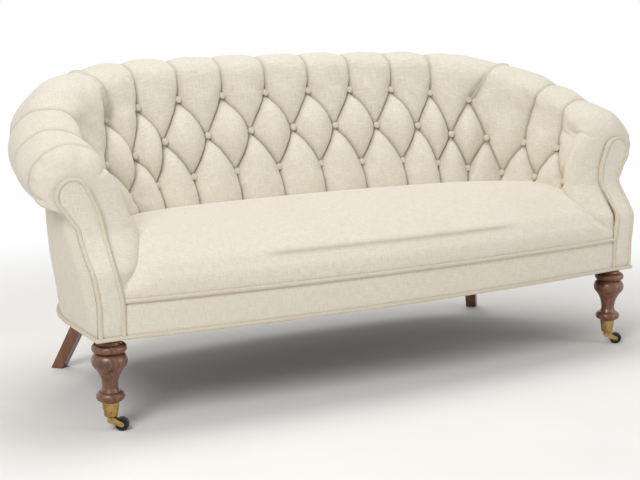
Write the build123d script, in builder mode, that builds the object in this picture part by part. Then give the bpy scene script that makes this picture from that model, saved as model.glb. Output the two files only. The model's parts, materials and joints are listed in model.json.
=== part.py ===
"""A deep-buttoned settee with a horseshoe back that rolls down into scroll arms.

Millimetres, Z up, front towards -Y, floor at z = 0, origin on the floor in the plane of symmetry.
Everything upholstered follows one plan outline, the horseshoe. A place on it is given by s, the
length along the outline from the middle of the back, by o, the offset outwards from it, and by z.
"""

import os
from math import atan2, cos, pi, radians, sin, sqrt

from build123d import *

# Driving dimensions: plan
BASE_HALF = 856.0        # half the width over the base
BACK_Y = 335.0           # back of the base in the middle
FRONT_Y = -341.0         # front face at the arms
FRONT_BOW = 42.0         # how far the front swells at the middle
CORNER_R = 450.0         # rounding of the two back corners
BACK_BOW_R = 4200.0      # gentle bow of the long back

# Driving dimensions: heights
RAIL_BOTTOM = 240.0
RAIL_TOP = 333.0
BACK_TOP = 882.0         # top of the roll in the middle of the back
ARM_TOP = 694.0          # top of the roll at the front of the arms
SEAT_CROWN = 487.0       # top of the seat in the middle
SEAT_EDGE = 478.0        # seat height where it tucks in against the back

# Driving dimensions: buttoning
PITCH = 150.0            # button spacing along the outline
ROW_1_END = 4.5          # last column of the top row, in pitches from the middle
ROW_2_END = 7.0
ROW_3_END = 7.5
BACK_END = 5.0           # the back pad meets the arm pads in this column
BUTTON_R = 10.0
BUTTON_H = 17.0          # from the bottom of its dimple to the face

# Driving dimensions: sections
RAIL_T = 46.0            # thickness of the seat rails
COVER_T = 4.0            # outside covers and border with their lining
WELT = 8.0               # how far piping stands out
WELT_H = 10.0            # how tall piping is
FACING_T = 8.0
FACING_INSET = 6.0       # arm post edge behind the facing edge
POST_T = 48.0
CLEAR = 0.3              # between separate stuffed forms
NECK = 27.0              # offset of the outside cover where it meets the roll

# Driving dimensions: legs and castors
LEG_X = BASE_HALF - 42.0
LEG_Y = FRONT_Y + 41.0
CUP_TOP = 75.0
CUP_BOTTOM = 38.0
WHEEL_R = 17.5
WHEEL_W = 14.0
TRAIL = 27.0             # castor wheel behind its swivel
TRAIL_TURN = -30.0       # direction of the trail at rest, degrees from +X
PIN_R = 4.0
AXLE_R = 2.5
RUN = 0.05               # running clearance on the radius
BACK_LEG_W = 40.0
BACK_LEG_IN = 21.8237            # head of a back leg inwards from the corner arc
BACK_LEG_TURN = radians(54.605660)   # and its place round the arc from +X
BACK_SPLAY = (88.0, 90.0)        # foot of a back leg outwards from its head

# The horseshoe outline: bow, corner arc, straight side
CORNER_X = BASE_HALF - CORNER_R
BOW_Y = BACK_Y - BACK_BOW_R
CORNER_Y = BOW_Y + sqrt((BACK_BOW_R - CORNER_R) ** 2 - CORNER_X ** 2)
BACK_LEG_RUN = CORNER_R - BACK_LEG_IN
BACK_LEG_TOP = (CORNER_X + BACK_LEG_RUN * cos(BACK_LEG_TURN), CORNER_Y + BACK_LEG_RUN * sin(BACK_LEG_TURN))
BACK_FOOT = (BACK_LEG_TOP[0] + BACK_SPLAY[0], BACK_LEG_TOP[1] + BACK_SPLAY[1])
BOW_TURN = atan2(CORNER_X, CORNER_Y - BOW_Y)
BOW_END = BACK_BOW_R * BOW_TURN
CORNER_END = BOW_END + CORNER_R * (pi / 2 - BOW_TURN)
SIDE_END = CORNER_END + CORNER_Y - FRONT_Y


def place(s, o=0.0):
    """Plan point at length s and offset o, with the outward normal: (x, y, nx, ny)."""
    side = 1 if s >= 0 else -1
    t = abs(s)
    if t <= BOW_END:
        turn, radius, cx, cy = t / BACK_BOW_R, BACK_BOW_R, 0.0, BOW_Y
    elif t <= CORNER_END:
        turn, radius, cx, cy = BOW_TURN + (t - BOW_END) / CORNER_R, CORNER_R, CORNER_X, CORNER_Y
    else:
        return side * (BASE_HALF + o), CORNER_Y - (t - CORNER_END), side * 1.0, 0.0
    x = cx + (radius + o) * sin(turn)
    y = cy + (radius + o) * cos(turn)
    return side * x, y, side * sin(turn), cos(turn)


def section_plane(s):
    """Upright plane across the outline at s: local x is the offset o, local y is the height z."""
    x, y, nx, ny = place(s)
    return Plane(origin=(x, y, 0), x_dir=(nx, ny, 0), z_dir=(ny, -nx, 0))


def along(s0, s1, o):
    """Draws the outline at offset o from s0 to s1 into the current line."""
    cuts = [-CORNER_END, -BOW_END, BOW_END, CORNER_END]
    stops = [s0] + [c for c in cuts if s0 < c < s1] + [s1]
    for a, b in zip(stops, stops[1:]):
        if min(abs(a), abs(b)) >= CORNER_END - 1e-6:
            Line(place(a, o)[:2], place(b, o)[:2])
        else:
            ThreePointArc(place(a, o)[:2], place((a + b) / 2, o)[:2], place(b, o)[:2])


def band_face(s0, s1, inner, outer):
    """Plan face between two offsets of the outline from s0 to s1."""
    with BuildSketch() as drawn:
        with BuildLine():
            along(s0, s1, inner)
            along(s0, s1, outer)
            Line(place(s0, inner)[:2], place(s0, outer)[:2])
            Line(place(s1, inner)[:2], place(s1, outer)[:2])
        make_face()
    return drawn.sketch


def station(s):
    """Place along the outline at length |s|: 1 at the end of the bow, 2 of the corner, 3 in front."""
    t = abs(s)
    if t <= BOW_END:
        return t / BOW_END
    if t <= CORNER_END:
        return 1 + (t - BOW_END) / (CORNER_END - BOW_END)
    return 2 + (t - CORNER_END) / (SIDE_END - CORNER_END)


def eased(s, stops):
    """Value at length |s| from a table of (station, value), eased between the stops."""
    t = station(s)
    if t <= stops[0][0]:
        return stops[0][1]
    for (a, va), (b, vb) in zip(stops, stops[1:]):
        if t <= b:
            k = (t - a) / (b - a)
            k = k * k * (3 - 2 * k) if abs(vb - va) > 60 else k
            return va + (vb - va) * k
    return stops[-1][1]


def roll_top(s):
    """Height of the top of the roll."""
    falls = [
        (0, 0), (0.944, 0.02), (1.25, 0.085), (1.463, 0.20), (1.645, 0.40), (1.827, 0.65), (2.08, 0.88),
        (2.914, 1.0),
    ]
    return BACK_TOP - (BACK_TOP - ARM_TOP) * eased(s, falls)


def roll_drop(s):
    """Height of the roll from its top down to the neck of the outside cover."""
    return eased(s, [(0, 112), (0.944, 114), (1.371, 128), (1.675, 146), (2.178, 156)])


def roll_reach(s):
    """Offset of the outermost line of the roll."""
    return eased(s, [(0, 56), (0.944, 60), (1.371, 96), (1.675, 116), (2.178, 110)])


def neck_z(s):
    """Height where the outside cover meets the underside of the roll."""
    return roll_top(s) - roll_drop(s)


def row_z(row, s):
    """Height of a row of buttons: row 3 stands on the seat, row 1 hangs from the roll, row 2 lies between."""
    low = SEAT_EDGE + eased(s, [(0, 74), (0.944, 63), (1.105, 51), (1.333, 32), (1.561, 18), (2.056, 10)])
    high = BACK_TOP - eased(s, [(0, 114), (0.944, 124), (1.333, 160)])
    if row != 2:
        return high if row == 1 else low
    on_arm = eased(s, [(1.219, 0), (1.447, 1)])
    shares = [(0, 0.509), (0.944, 0.488), (1.219, 0.443), (1.333, 0.495), (1.447, 0.518), (1.903, 0.466)]
    return low + eased(s, shares) * (high + (ARM_TOP - high) * on_arm - low)


# The buttons lie in a plane that leans back from its foot above the seat to the top of the roll
LEAN_FOOT = [(0, -139), (1.068, -137), (1.675, -105), (2.423, -97)]
LEAN_TOP = [
    (0, -8.5), (1.068, -7.8), (1.219, -4.0), (1.371, -2.8), (1.523, -4.5), (1.675, -9.2), (1.827, -18.7),
    (2.08, -28.6), (2.914, -33.8),
]
LEAN_FOOT_UP = [(0, 72), (1.068, 67), (1.675, 12)]


def rake_at(s):
    """Slope of the button plane, offset gained per height."""
    rise = roll_top(s) - SEAT_EDGE - eased(s, LEAN_FOOT_UP)
    return (eased(s, LEAN_TOP) - eased(s, LEAN_FOOT)) / rise


def button_o(s, z):
    """Offset of the plane through the buttons, raked back with height."""
    return eased(s, LEAN_TOP) + (z - roll_top(s)) * rake_at(s)


PAD_BOTTOM = RAIL_TOP + 52.0  # foot of the back and arm pads, below the seat line
PAD_LOW = RAIL_TOP + 19.0     # foot of the arm pads at the front
PLEAT_RISE = 12.0        # pleats are shallower than the buttons by this
PLEAT_HALF = 3.0         # half the width of the bottom of a pleat
SEAT_HALF = 11.0         # half the width of the bottom of a dimple
FULL = 46.0              # swell of a tuft over a whole cell
TOP_RAIL_IN = -20.0      # inner face of the top rail
TOP_RAIL_OUT = NECK - COVER_T
TOP_RAIL_UP = 34.0       # top rail above the neck
TOP_RAIL_DOWN = 30.0     # and below it


def pad_bottom(s):
    """Height of the foot of the pads."""
    return eased(s, [(0, PAD_BOTTOM), (1.994, PAD_BOTTOM), (2.546, PAD_LOW)])


# Offset of the foot of the pads where the seat stops, and where the arm pads are drawn in under their fronts
SEAT_LINE = [(0, -200), (1.068, -198), (1.675, -150), (1.979, -136)]
FOOT_LINE = SEAT_LINE + [(2.2, -130), (2.6, -104), (3, -84)]


def foot_o(s):
    """Offset of the front foot of the pads."""
    return eased(s, FOOT_LINE)


def back_line_o(s, z):
    """Offset of the line behind the pads: up the uprights to the top rail."""
    top = neck_z(s) - TOP_RAIL_DOWN
    return -RAIL_T - COVER_T + (z - RAIL_TOP) * (TOP_RAIL_IN + RAIL_T + COVER_T) / (top - RAIL_TOP)


def bowed(a, b, swell):
    """Middle point of an arc from a to b that swells to the left of its direction."""
    dx, dz = b[0] - a[0], b[1] - a[1]
    length = sqrt(dx * dx + dz * dz)
    return (a[0] + b[0]) / 2 - dz / length * swell, (a[1] + b[1]) / 2 + dx / length * swell


# The scroll of the right arm, and heights on its front as shares of the way up from the rail to the scroll
SCROLL_X = BASE_HALF + 18.0
SCROLL_Z = ARM_TOP - 106.0
SCROLL_R = 46.0


def arm_z(share):
    """Height on the front of the arm."""
    return RAIL_TOP + share * (SCROLL_Z - RAIL_TOP)


# The front of the arm in side view: upright, swept back over the seat, upright in the scroll
SWEEP_FOOT = RAIL_BOTTOM - 40.0
SWEEP_BACK = [(0, 0), (5, 0.263), (43, 0.459), (82, 0.655), (94, 0.89), (98, 1.126), (99, 1.675)]
FRONT_SWEEP = [(FRONT_Y + back, arm_z(share)) for back, share in SWEEP_BACK]


def sweep_y(z):
    """Front face of the arm facing at height z, straight between the points of the sweep."""
    if z <= FRONT_SWEEP[0][1]:
        return FRONT_Y
    for (ya, za), (yb, zb) in zip(FRONT_SWEEP, FRONT_SWEEP[1:]):
        if z <= zb:
            return ya + (yb - ya) * (z - za) / (zb - za)
    return FRONT_SWEEP[-1][0]


def sweep_line(shift):
    """Draws the front sweep moved along Y by shift, and returns its two ends."""
    points = [(y + shift, z) for y, z in FRONT_SWEEP]
    Line((points[0][0], SWEEP_FOOT), points[0])
    Spline(points, tangents=[(0, 1), (0, 1)])
    return (points[0][0], SWEEP_FOOT), points[-1]


def sweep_band(front, back):
    """Upright strip between two copies of the front sweep."""
    with BuildSketch() as drawn:
        with BuildLine():
            ends = zip(sweep_line(front), sweep_line(back))
            for a, b in ends:
                Line(a, b)
        make_face()
    return drawn.sketch


# The right arm facing in front view: distance in or out from the side of the base, and share of the way up
EDGE_IN = [(71, 0), (64, 0.125), (56, 0.263), (54, 0.361), (56, 0.498), (57, 0.643), (51, 0.812), (39, 0.937)]
EDGE_OUT = [(0, 0), (10, 0.263), (15, 0.42), (16, 0.576), (16, 0.698)]
FACING_IN = [(BASE_HALF - away, arm_z(share)) for away, share in EDGE_IN]
FACING_OUT = [(BASE_HALF + away, arm_z(share)) for away, share in EDGE_OUT]
POST_IN = FACING_IN[0][0] + FACING_INSET


def on_scroll(angle, inset):
    """Point on the scroll of the facing at an angle from +X."""
    r = SCROLL_R - inset
    return SCROLL_X + r * cos(radians(angle)), SCROLL_Z + r * sin(radians(angle))


def facing_face(inset, bottom):
    """Outline of the right arm facing from a height upwards, moved inwards by inset."""
    inner = [(x + inset, z) for x, z in FACING_IN]
    outer = [(x - inset, z) for x, z in FACING_OUT]
    turn = radians(170)
    with BuildSketch() as drawn:
        with BuildLine():
            Line((inner[0][0], bottom), (outer[0][0], bottom))
            Line((outer[0][0], bottom), outer[0])
            Spline(outer, tangents=[(0, 1), (0, 1)])
            Line(outer[-1], on_scroll(-52, inset))
            ThreePointArc(on_scroll(-52, inset), on_scroll(5, inset), on_scroll(62, inset))
            ThreePointArc(on_scroll(62, inset), on_scroll(116, inset), on_scroll(170, inset))
            Spline([on_scroll(170, inset)] + inner[::-1], tangents=[(-sin(turn), cos(turn)), (0, -1)])
            Line(inner[0], (inner[0][0], bottom))
        make_face()
    return drawn.sketch


# The bowed front
FRONT_HALF = FACING_IN[0][0]
FRONT_R = (FRONT_HALF ** 2 + FRONT_BOW ** 2) / (2 * FRONT_BOW)
FRONT_CY = FRONT_Y - FRONT_BOW + FRONT_R


def front_y(x, inwards=0.0):
    """Front of the bow at x, moved inwards."""
    return FRONT_CY - sqrt((FRONT_R - inwards) ** 2 - x * x)


def front_band(half, near, far):
    """Plan face of the bowed front between two depths."""
    with BuildSketch() as drawn:
        with BuildLine():
            for inwards in (near, far):
                end = front_y(half, inwards)
                ThreePointArc((-half, end), (0, front_y(0, inwards)), (half, end))
            for x in (-half, half):
                Line((x, front_y(half, near)), (x, front_y(half, far)))
        make_face()
    return drawn.sketch


# Buttoned pads. A section is a closed chain of arcs and lines across the outline.
NOSE = 62.0              # rounding of the front end of the arm pads
FOOT_SHUT = -60.0        # offset where the inside of an arm pad meets its facing
ROLL_PLEAT = 9.0         # depth of the pleats over the roll


def zigzag(u):
    """How far column u is from a row 2 column: 0 on it, 1 half a pitch away."""
    return 2 * abs(u - round(u))


def nosed(s, o, z, shut):
    """Draws a point of an arm section in towards the facing edge near the front of the arm."""
    depth = place(s)[1] - (sweep_y(z) + FACING_T)
    if depth >= NOSE:
        return o, z
    open_share = sqrt(max(0.0, 1 - (1 - max(depth, 0.0) / NOSE) ** 2))
    return shut[0] + (o - shut[0]) * open_share, shut[1] + (z - shut[1]) * open_share


def pad_close(s, front, neck):
    """Draws the hidden sides of a pad section: over the top rail and down the uprights."""
    rail_top = neck[1] + TOP_RAIL_UP
    bottom = pad_bottom(s)
    Polyline(
        neck, (TOP_RAIL_OUT, neck[1]), (TOP_RAIL_OUT, rail_top), (TOP_RAIL_IN, rail_top),
        (TOP_RAIL_IN, neck_z(s) - TOP_RAIL_DOWN), (back_line_o(s, bottom) - CLEAR, bottom), front,
    )


def roll_points(s, groove):
    """Inner shoulder, crest, outermost, under and neck points of the roll, drawn in by a groove."""
    top, drop, reach, z = roll_top(s), roll_drop(s), roll_reach(s), neck_z(s)
    lean = button_o(s, top)
    shoulder = (lean - 40 + groove * 0.6, top - 0.24 * drop)
    crest = (0.5 * (lean + reach) - 10, top - groove)
    outmost = (reach - 0.7 * groove, top - 0.54 * drop)
    under = (reach - 14 - 0.3 * groove, top - 0.84 * drop)
    return shoulder, crest, outmost, under, (NECK, z)


def sewn(s, z, rise):
    """Point at the bottom of a pleat or dimple."""
    return button_o(s, z) - rise, z


def back_section(u):
    """Section of the back pad in column u."""
    s = u * PITCH
    away = zigzag(u)
    lower_z = row_z(2, s) + (row_z(3, s) - row_z(2, s)) * away
    upper_z = row_z(2, s) + (row_z(1, s) - row_z(2, s)) * away
    rise = PLEAT_RISE * sin(pi * away)
    half = SEAT_HALF if away in (0, 1) else PLEAT_HALF
    inner = half if away > 0 else -1.0
    foot = (foot_o(s), pad_bottom(s))
    low_a, low_b = sewn(s, lower_z - half, rise), sewn(s, lower_z + inner, rise)
    up_a, up_b = sewn(s, upper_z - inner, rise), sewn(s, upper_z + half, rise)
    shoulder, crest, outmost, under, neck = roll_points(s, ROLL_PLEAT * away ** 3)
    cell = FULL * (0.12 + 0.88 * (1 - away ** 2))
    middle = min(4.0 + FULL * away, 0.3 * (up_a[1] - low_b[1]))
    with BuildSketch() as drawn:
        with BuildLine():
            ThreePointArc(foot, bowed(foot, low_a, cell), low_a)
            Line(low_a, low_b)
            ThreePointArc(low_b, bowed(low_b, up_a, middle), up_a)
            Line(up_a, up_b)
            ThreePointArc(up_b, bowed(up_b, shoulder, 0.75 * cell), shoulder)
            ThreePointArc(shoulder, crest, outmost)
            ThreePointArc(outmost, under, neck)
            pad_close(s, foot, neck)
        make_face()
    return drawn.sketch


def arm_section(s):
    """Section of the right arm pad at length s."""
    u = s / PITCH
    away = zigzag(u) if u < ROW_3_END else 1.0
    last = max(0.0, (u - ROW_3_END) / (SIDE_END / PITCH - ROW_3_END))
    lower_z = row_z(2, s) + (row_z(3, s) - row_z(2, s)) * away
    rise = PLEAT_RISE * sin(pi * away) + 26.0 * min(1.0, 2 * last)
    half = SEAT_HALF if away in (0, 1) and last == 0 else PLEAT_HALF
    pleat = ROLL_PLEAT * (1 - away) ** 3 if u > BACK_END + 0.5 else 0.0
    below = FULL * (0.10 + 0.62 * (1 - away ** 2)) + 10.0 * last
    above = FULL * (0.10 + 0.55 * away)
    shoulder, crest, outmost, under, neck = roll_points(s, pleat)
    edge = SCROLL_X - BASE_HALF
    foot = nosed(s, foot_o(s), pad_bottom(s), (FOOT_SHUT, pad_bottom(s)))
    low_a = nosed(s, *sewn(s, lower_z - half, rise), (FOOT_SHUT, lower_z - half))
    low_b = nosed(s, *sewn(s, lower_z + half, rise), (FOOT_SHUT, lower_z + half))
    shoulder = nosed(s, *shoulder, (edge - SCROLL_R, SCROLL_Z + 8))
    crest = nosed(s, *crest, (edge, SCROLL_Z + SCROLL_R))
    outmost = nosed(s, *outmost, (edge + SCROLL_R, SCROLL_Z))
    under = nosed(s, *under, (edge + 0.78 * SCROLL_R, SCROLL_Z - 0.62 * SCROLL_R))
    with BuildSketch() as drawn:
        with BuildLine():
            ThreePointArc(foot, bowed(foot, low_a, below), low_a)
            Line(low_a, low_b)
            ThreePointArc(low_b, bowed(low_b, shoulder, above), shoulder)
            ThreePointArc(shoulder, crest, outmost)
            ThreePointArc(outmost, under, neck)
            pad_close(s, foot, neck)
        make_face()
    return drawn.sketch


# Buttons are held off the bottom of their dimples where the corner draws the tufts together
BUTTON_LIFT = {
    1: [(0, 0.2), (0.988, 0.8)],
    2: [(0, 0.9), (0.659, 0.9), (0.988, 3.1), (1.219, 6.2), (1.447, 5.5), (1.675, 0.3)],
    3: [(0, 0.2)],
}


def button_places(row, first, last):
    """Planes of the buttons of a row from column first to column last, facing out of the pad."""
    places = []
    u = first
    while u <= last + 1e-6:
        s = u * PITCH
        z = row_z(row, s)
        x, y, nx, ny = place(s, button_o(s, z))
        seat = Plane(origin=(x, y, z), z_dir=(-nx, -ny, rake_at(s)))
        places.append(seat.offset(eased(s, BUTTON_LIFT[row])))
        u += 1
    return places


BACK_BUTTONS = (
    button_places(1, -ROW_1_END, ROW_1_END)
    + button_places(2, 1 - BACK_END, BACK_END - 1)
    + button_places(3, -ROW_1_END, ROW_1_END)
)
ARM_BUTTONS = button_places(2, BACK_END, ROW_2_END) + button_places(3, BACK_END + 0.5, ROW_3_END)

QUARTER = 0.25
BACK_COLUMNS = [-BACK_END + QUARTER * i for i in range(int(2 * BACK_END / QUARTER) + 1)]
ARM_COLUMNS = [BACK_END + QUARTER * i for i in range(int((ROW_3_END - BACK_END) / QUARTER) + 1)]
ARM_END = SIDE_END - FACING_T
LAST_S = ROW_3_END * PITCH
# Sections between the last button and the facing, closer where the front of the arm rounds off
FRONT_SHARES = [0.135, 0.255, 0.352, 0.433, 0.498, 0.553, 0.623, 0.71, 0.796, 0.883, 0.959, 1.0]
FRONT_STATIONS = [LAST_S + share * (ARM_END - LAST_S) for share in FRONT_SHARES]
ARM_STATIONS = [u * PITCH for u in ARM_COLUMNS] + FRONT_STATIONS

# Seat frame
POST_BACK = FRONT_Y + FACING_T + POST_T
RAIL_IN = -COVER_T - RAIL_T
RAIL_MID = -COVER_T - RAIL_T / 2
SIDE_RAIL_END = CORNER_END + CORNER_Y - POST_BACK
TENON = (12.0, 56.0, 60.0)   # thickness, height and length of the loose tenons in the rail joints
RAIL_MID_Z = (RAIL_BOTTOM + RAIL_TOP) / 2 + 8
LEG_PIN_R = 12.0
LEG_PIN_L = 24.0

with BuildPart() as frame_tenons:
    for s in (-BOW_END, BOW_END):
        with Locations(section_plane(s).location * Pos(RAIL_MID, RAIL_MID_Z, 0)):
            Box(*TENON)
    for side in (-1, 1):
        with Locations((side * (BASE_HALF + RAIL_MID), POST_BACK, RAIL_MID_Z)):
            Box(TENON[0], TENON[2], TENON[1])
        with Locations((side * POST_IN, front_y(POST_IN, FACING_T + RAIL_T / 2), RAIL_MID_Z)):
            Box(TENON[2] / 2, TENON[0], TENON[1])

# Back legs: square, raked out and back, each held by a bolt up its middle
LEG_RAKE = Vector(BACK_LEG_TOP[0] - BACK_FOOT[0], BACK_LEG_TOP[1] - BACK_FOOT[1], RAIL_BOTTOM)
LEG_OUT = atan2(BACK_FOOT[1] - BACK_LEG_TOP[1], BACK_FOOT[0] - BACK_LEG_TOP[0]) * 180 / pi
BOLT_R = 4.0
BOLT_L = 64.0

with BuildPart() as back_leg_bolts:
    for side in (-1, 1):
        with Locations(
            Plane(
                origin=(side * BACK_LEG_TOP[0], BACK_LEG_TOP[1], RAIL_BOTTOM),
                z_dir=(side * LEG_RAKE.X, LEG_RAKE.Y, LEG_RAKE.Z),
            )
        ):
            Cylinder(BOLT_R, BOLT_L)

with BuildPart() as right_back_leg:
    with BuildSketch(Plane(origin=(*BACK_FOOT, 0)).rotated((0, 0, LEG_OUT))):
        Rectangle(BACK_LEG_W - 6, BACK_LEG_W - 6)
    with BuildSketch(Plane(origin=(*BACK_LEG_TOP, RAIL_BOTTOM)).rotated((0, 0, LEG_OUT))):
        Rectangle(BACK_LEG_W, BACK_LEG_W)
    loft(ruled=True)
    add(back_leg_bolts.part, mode=Mode.SUBTRACT)
with BuildPart() as left_back_leg:
    mirror(right_back_leg.part, about=Plane.YZ)

with BuildPart() as back_seat_rail:
    with BuildSketch(Plane.XY.offset(RAIL_BOTTOM)):
        add(band_face(-BOW_END, BOW_END, RAIL_IN, -COVER_T))
    extrude(amount=RAIL_TOP - RAIL_BOTTOM)
    add(frame_tenons.part, mode=Mode.SUBTRACT)

with BuildPart() as right_side_rail:
    with BuildSketch(Plane.XY.offset(RAIL_BOTTOM)):
        add(band_face(BOW_END, SIDE_RAIL_END, RAIL_IN, -COVER_T))
    extrude(amount=RAIL_TOP - RAIL_BOTTOM)
    add(frame_tenons.part, mode=Mode.SUBTRACT)
    add(back_leg_bolts.part, mode=Mode.SUBTRACT)
with BuildPart() as left_side_rail:
    mirror(right_side_rail.part, about=Plane.YZ)

with BuildPart() as front_seat_rail:
    with BuildSketch(Plane.XY.offset(RAIL_BOTTOM)):
        add(front_band(POST_IN, FACING_T, FACING_T + RAIL_T))
    extrude(amount=RAIL_TOP - RAIL_BOTTOM)
    add(frame_tenons.part, mode=Mode.SUBTRACT)

# Cross stretchers tie the long rails under the springs
STRETCHER_X = (-300.0, 300.0)
STRETCHER_W = 40.0
STRETCHER_Z = (RAIL_BOTTOM + 6, RAIL_BOTTOM + 52)
with BuildPart() as seat_stretchers:
    for x in STRETCHER_X:
        with BuildSketch(Plane.XY.offset(STRETCHER_Z[0])):
            with Locations((x, 0)):
                Rectangle(STRETCHER_W, 2 * BACK_Y)
        extrude(amount=STRETCHER_Z[1] - STRETCHER_Z[0])
    with BuildSketch(Plane.XY.offset(STRETCHER_Z[0])):
        with BuildLine():
            along(-BOW_END, BOW_END, RAIL_IN)
            ThreePointArc(
                (-FRONT_HALF, front_y(FRONT_HALF, FACING_T + RAIL_T)), (0, front_y(0, FACING_T + RAIL_T)),
                (FRONT_HALF, front_y(FRONT_HALF, FACING_T + RAIL_T)),
            )
            for side in (-1, 1):
                near = (side * FRONT_HALF, front_y(FRONT_HALF, FACING_T + RAIL_T))
                Line(place(side * BOW_END, RAIL_IN)[:2], near)
        make_face()
    extrude(amount=STRETCHER_Z[1] - STRETCHER_Z[0], mode=Mode.INTERSECT)

BLOCK = 70.0
BLOCK_Z = (RAIL_BOTTOM + 14, RAIL_TOP - 3)
with BuildPart() as corner_blocks:
    with BuildSketch(Plane.XY.offset(BLOCK_Z[0])):
        for side in (-1, 1):
            x = side * (BASE_HALF + RAIL_IN)
            with BuildLine():
                Polyline((x, POST_BACK), (x, POST_BACK + BLOCK), (x - side * BLOCK, POST_BACK), close=True)
            make_face()
    extrude(amount=BLOCK_Z[1] - BLOCK_Z[0])

# Arm posts: scroll boards that stand on the front legs
with BuildPart() as right_arm_post:
    with BuildSketch(Plane.XZ):
        add(facing_face(FACING_INSET, RAIL_BOTTOM))
    extrude(amount=-2 * FRONT_Y, both=True)
    with BuildSketch(Plane.YZ):
        add(sweep_band(FACING_T, FACING_T + POST_T))
    extrude(amount=2 * BASE_HALF, mode=Mode.INTERSECT)
    add(frame_tenons.part, mode=Mode.SUBTRACT)
    with Locations((LEG_X, LEG_Y, RAIL_BOTTOM)):
        Cylinder(LEG_PIN_R, LEG_PIN_L, align=(Align.CENTER, Align.CENTER, Align.MIN), mode=Mode.SUBTRACT)
with BuildPart() as left_arm_post:
    mirror(right_arm_post.part, about=Plane.YZ)


# Top rails run inside the roll from post to post
def top_rail_face(s):
    """Section of the top rail."""
    neck = neck_z(s)
    with BuildSketch() as drawn:
        with BuildLine():
            Polyline(
                (TOP_RAIL_IN, neck - TOP_RAIL_DOWN), (TOP_RAIL_OUT, neck - TOP_RAIL_DOWN),
                (TOP_RAIL_OUT, neck + TOP_RAIL_UP), (TOP_RAIL_IN, neck + TOP_RAIL_UP), close=True,
            )
        make_face()
    return drawn.sketch


with BuildPart() as back_top_rail:
    for u in BACK_COLUMNS:
        with BuildSketch(section_plane(u * PITCH)):
            add(top_rail_face(u * PITCH))
    loft(ruled=True)

with BuildPart() as right_arm_rail:
    for s in ARM_STATIONS:
        with BuildSketch(section_plane(s)):
            add(top_rail_face(s))
    loft(ruled=True)
    with BuildSketch(Plane.YZ):
        add(sweep_band(FACING_T + POST_T - 200, FACING_T + POST_T))
    extrude(amount=2 * BASE_HALF, mode=Mode.SUBTRACT)
with BuildPart() as left_arm_rail:
    mirror(right_arm_rail.part, about=Plane.YZ)

# Uprights lean back from the seat rail to the underside of the top rail
UPRIGHT_S = (150.0, 420.0, 690.0, 960.0)
UPRIGHT_W = 40.0
UPRIGHT_T = 24.0
UPRIGHT_GAP = 1.2        # behind the stuffed pads
with BuildPart() as back_uprights:
    for s in UPRIGHT_S:
        for side in (-1, 1):
            head = neck_z(s)
            behind = back_line_o(s, head)
            with BuildSketch(section_plane(side * s)):
                with BuildLine():
                    Polyline(
                        (RAIL_IN + UPRIGHT_GAP, RAIL_TOP), (RAIL_IN + UPRIGHT_T, RAIL_TOP),
                        (behind + UPRIGHT_T, head), (behind + UPRIGHT_GAP, head), close=True,
                    )
                make_face()
            extrude(amount=UPRIGHT_W / 2, both=True)
    add(back_top_rail.part, mode=Mode.SUBTRACT)
    add(right_arm_rail.part, mode=Mode.SUBTRACT)
    add(left_arm_rail.part, mode=Mode.SUBTRACT)

STUFF_Z = (PAD_BOTTOM + 6, PAD_BOTTOM + 46)
STUFF_T = 20.0
STUFF_GAP = 0.8          # behind the stuffed pads


def stuffing_face(s):
    """Section of the stuffing rail."""
    low, high = STUFF_Z
    low_o, high_o = back_line_o(s, low), back_line_o(s, high)
    with BuildSketch() as drawn:
        with BuildLine():
            Polyline(
                (low_o + STUFF_GAP, low), (low_o + STUFF_T, low), (high_o + STUFF_T, high),
                (high_o + STUFF_GAP, high), close=True,
            )
        make_face()
    return drawn.sketch


with BuildPart() as back_stuffing_rail:
    for i in range(7):
        s = UPRIGHT_S[1] * (i - 3) / 3
        with BuildSketch(section_plane(s)):
            add(stuffing_face(s))
    loft(ruled=True)
    add(back_uprights.part, mode=Mode.SUBTRACT)
with BuildPart() as right_stuffing_rail:
    for i in range(10):
        s = UPRIGHT_S[1] + (UPRIGHT_S[3] - UPRIGHT_S[1]) * i / 9
        with BuildSketch(section_plane(s)):
            add(stuffing_face(s))
    loft(ruled=True)
    add(back_uprights.part, mode=Mode.SUBTRACT)
with BuildPart() as left_stuffing_rail:
    mirror(right_stuffing_rail.part, about=Plane.YZ)

# Buttoned pads
with BuildPart() as inside_back_pad:
    for u in BACK_COLUMNS:
        with BuildSketch(section_plane(u * PITCH)):
            add(back_section(u))
    loft(ruled=True)

with BuildPart() as right_arm_pad:
    for s in ARM_STATIONS:
        with BuildSketch(section_plane(s)):
            add(arm_section(s))
    loft(ruled=True)
    with BuildSketch(Plane.YZ):
        add(sweep_band(FACING_T - 200, FACING_T))
    extrude(amount=2 * BASE_HALF, mode=Mode.SUBTRACT)
    add(right_arm_post.part, mode=Mode.SUBTRACT)
with BuildPart() as left_arm_pad:
    mirror(right_arm_pad.part, about=Plane.YZ)

# Buttons: a tapered back drawn down into the dimple and a low domed face
BUTTON_PROFILE = [
    (0, 0), (BUTTON_R, 0.72 * BUTTON_H), (0.86 * BUTTON_R, 0.88 * BUTTON_H),
    (0.48 * BUTTON_R, 0.98 * BUTTON_H), (0, BUTTON_H),
]
with BuildPart() as button:
    with BuildSketch(Plane.XZ):
        with BuildLine():
            Polyline(BUTTON_PROFILE, close=True)
        make_face()
    revolve(axis=Axis.Z)

with BuildPart() as back_buttons:
    with Locations(*BACK_BUTTONS):
        add(button.part)
with BuildPart() as right_arm_buttons:
    with Locations(*ARM_BUTTONS):
        add(button.part)
with BuildPart() as left_arm_buttons:
    mirror(right_arm_buttons.part, about=Plane.YZ)

# Outside covers: up over the seat rail, leaning out to the neck under the roll
COVER_TURN = 40.0        # upright hem under the roll


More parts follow.
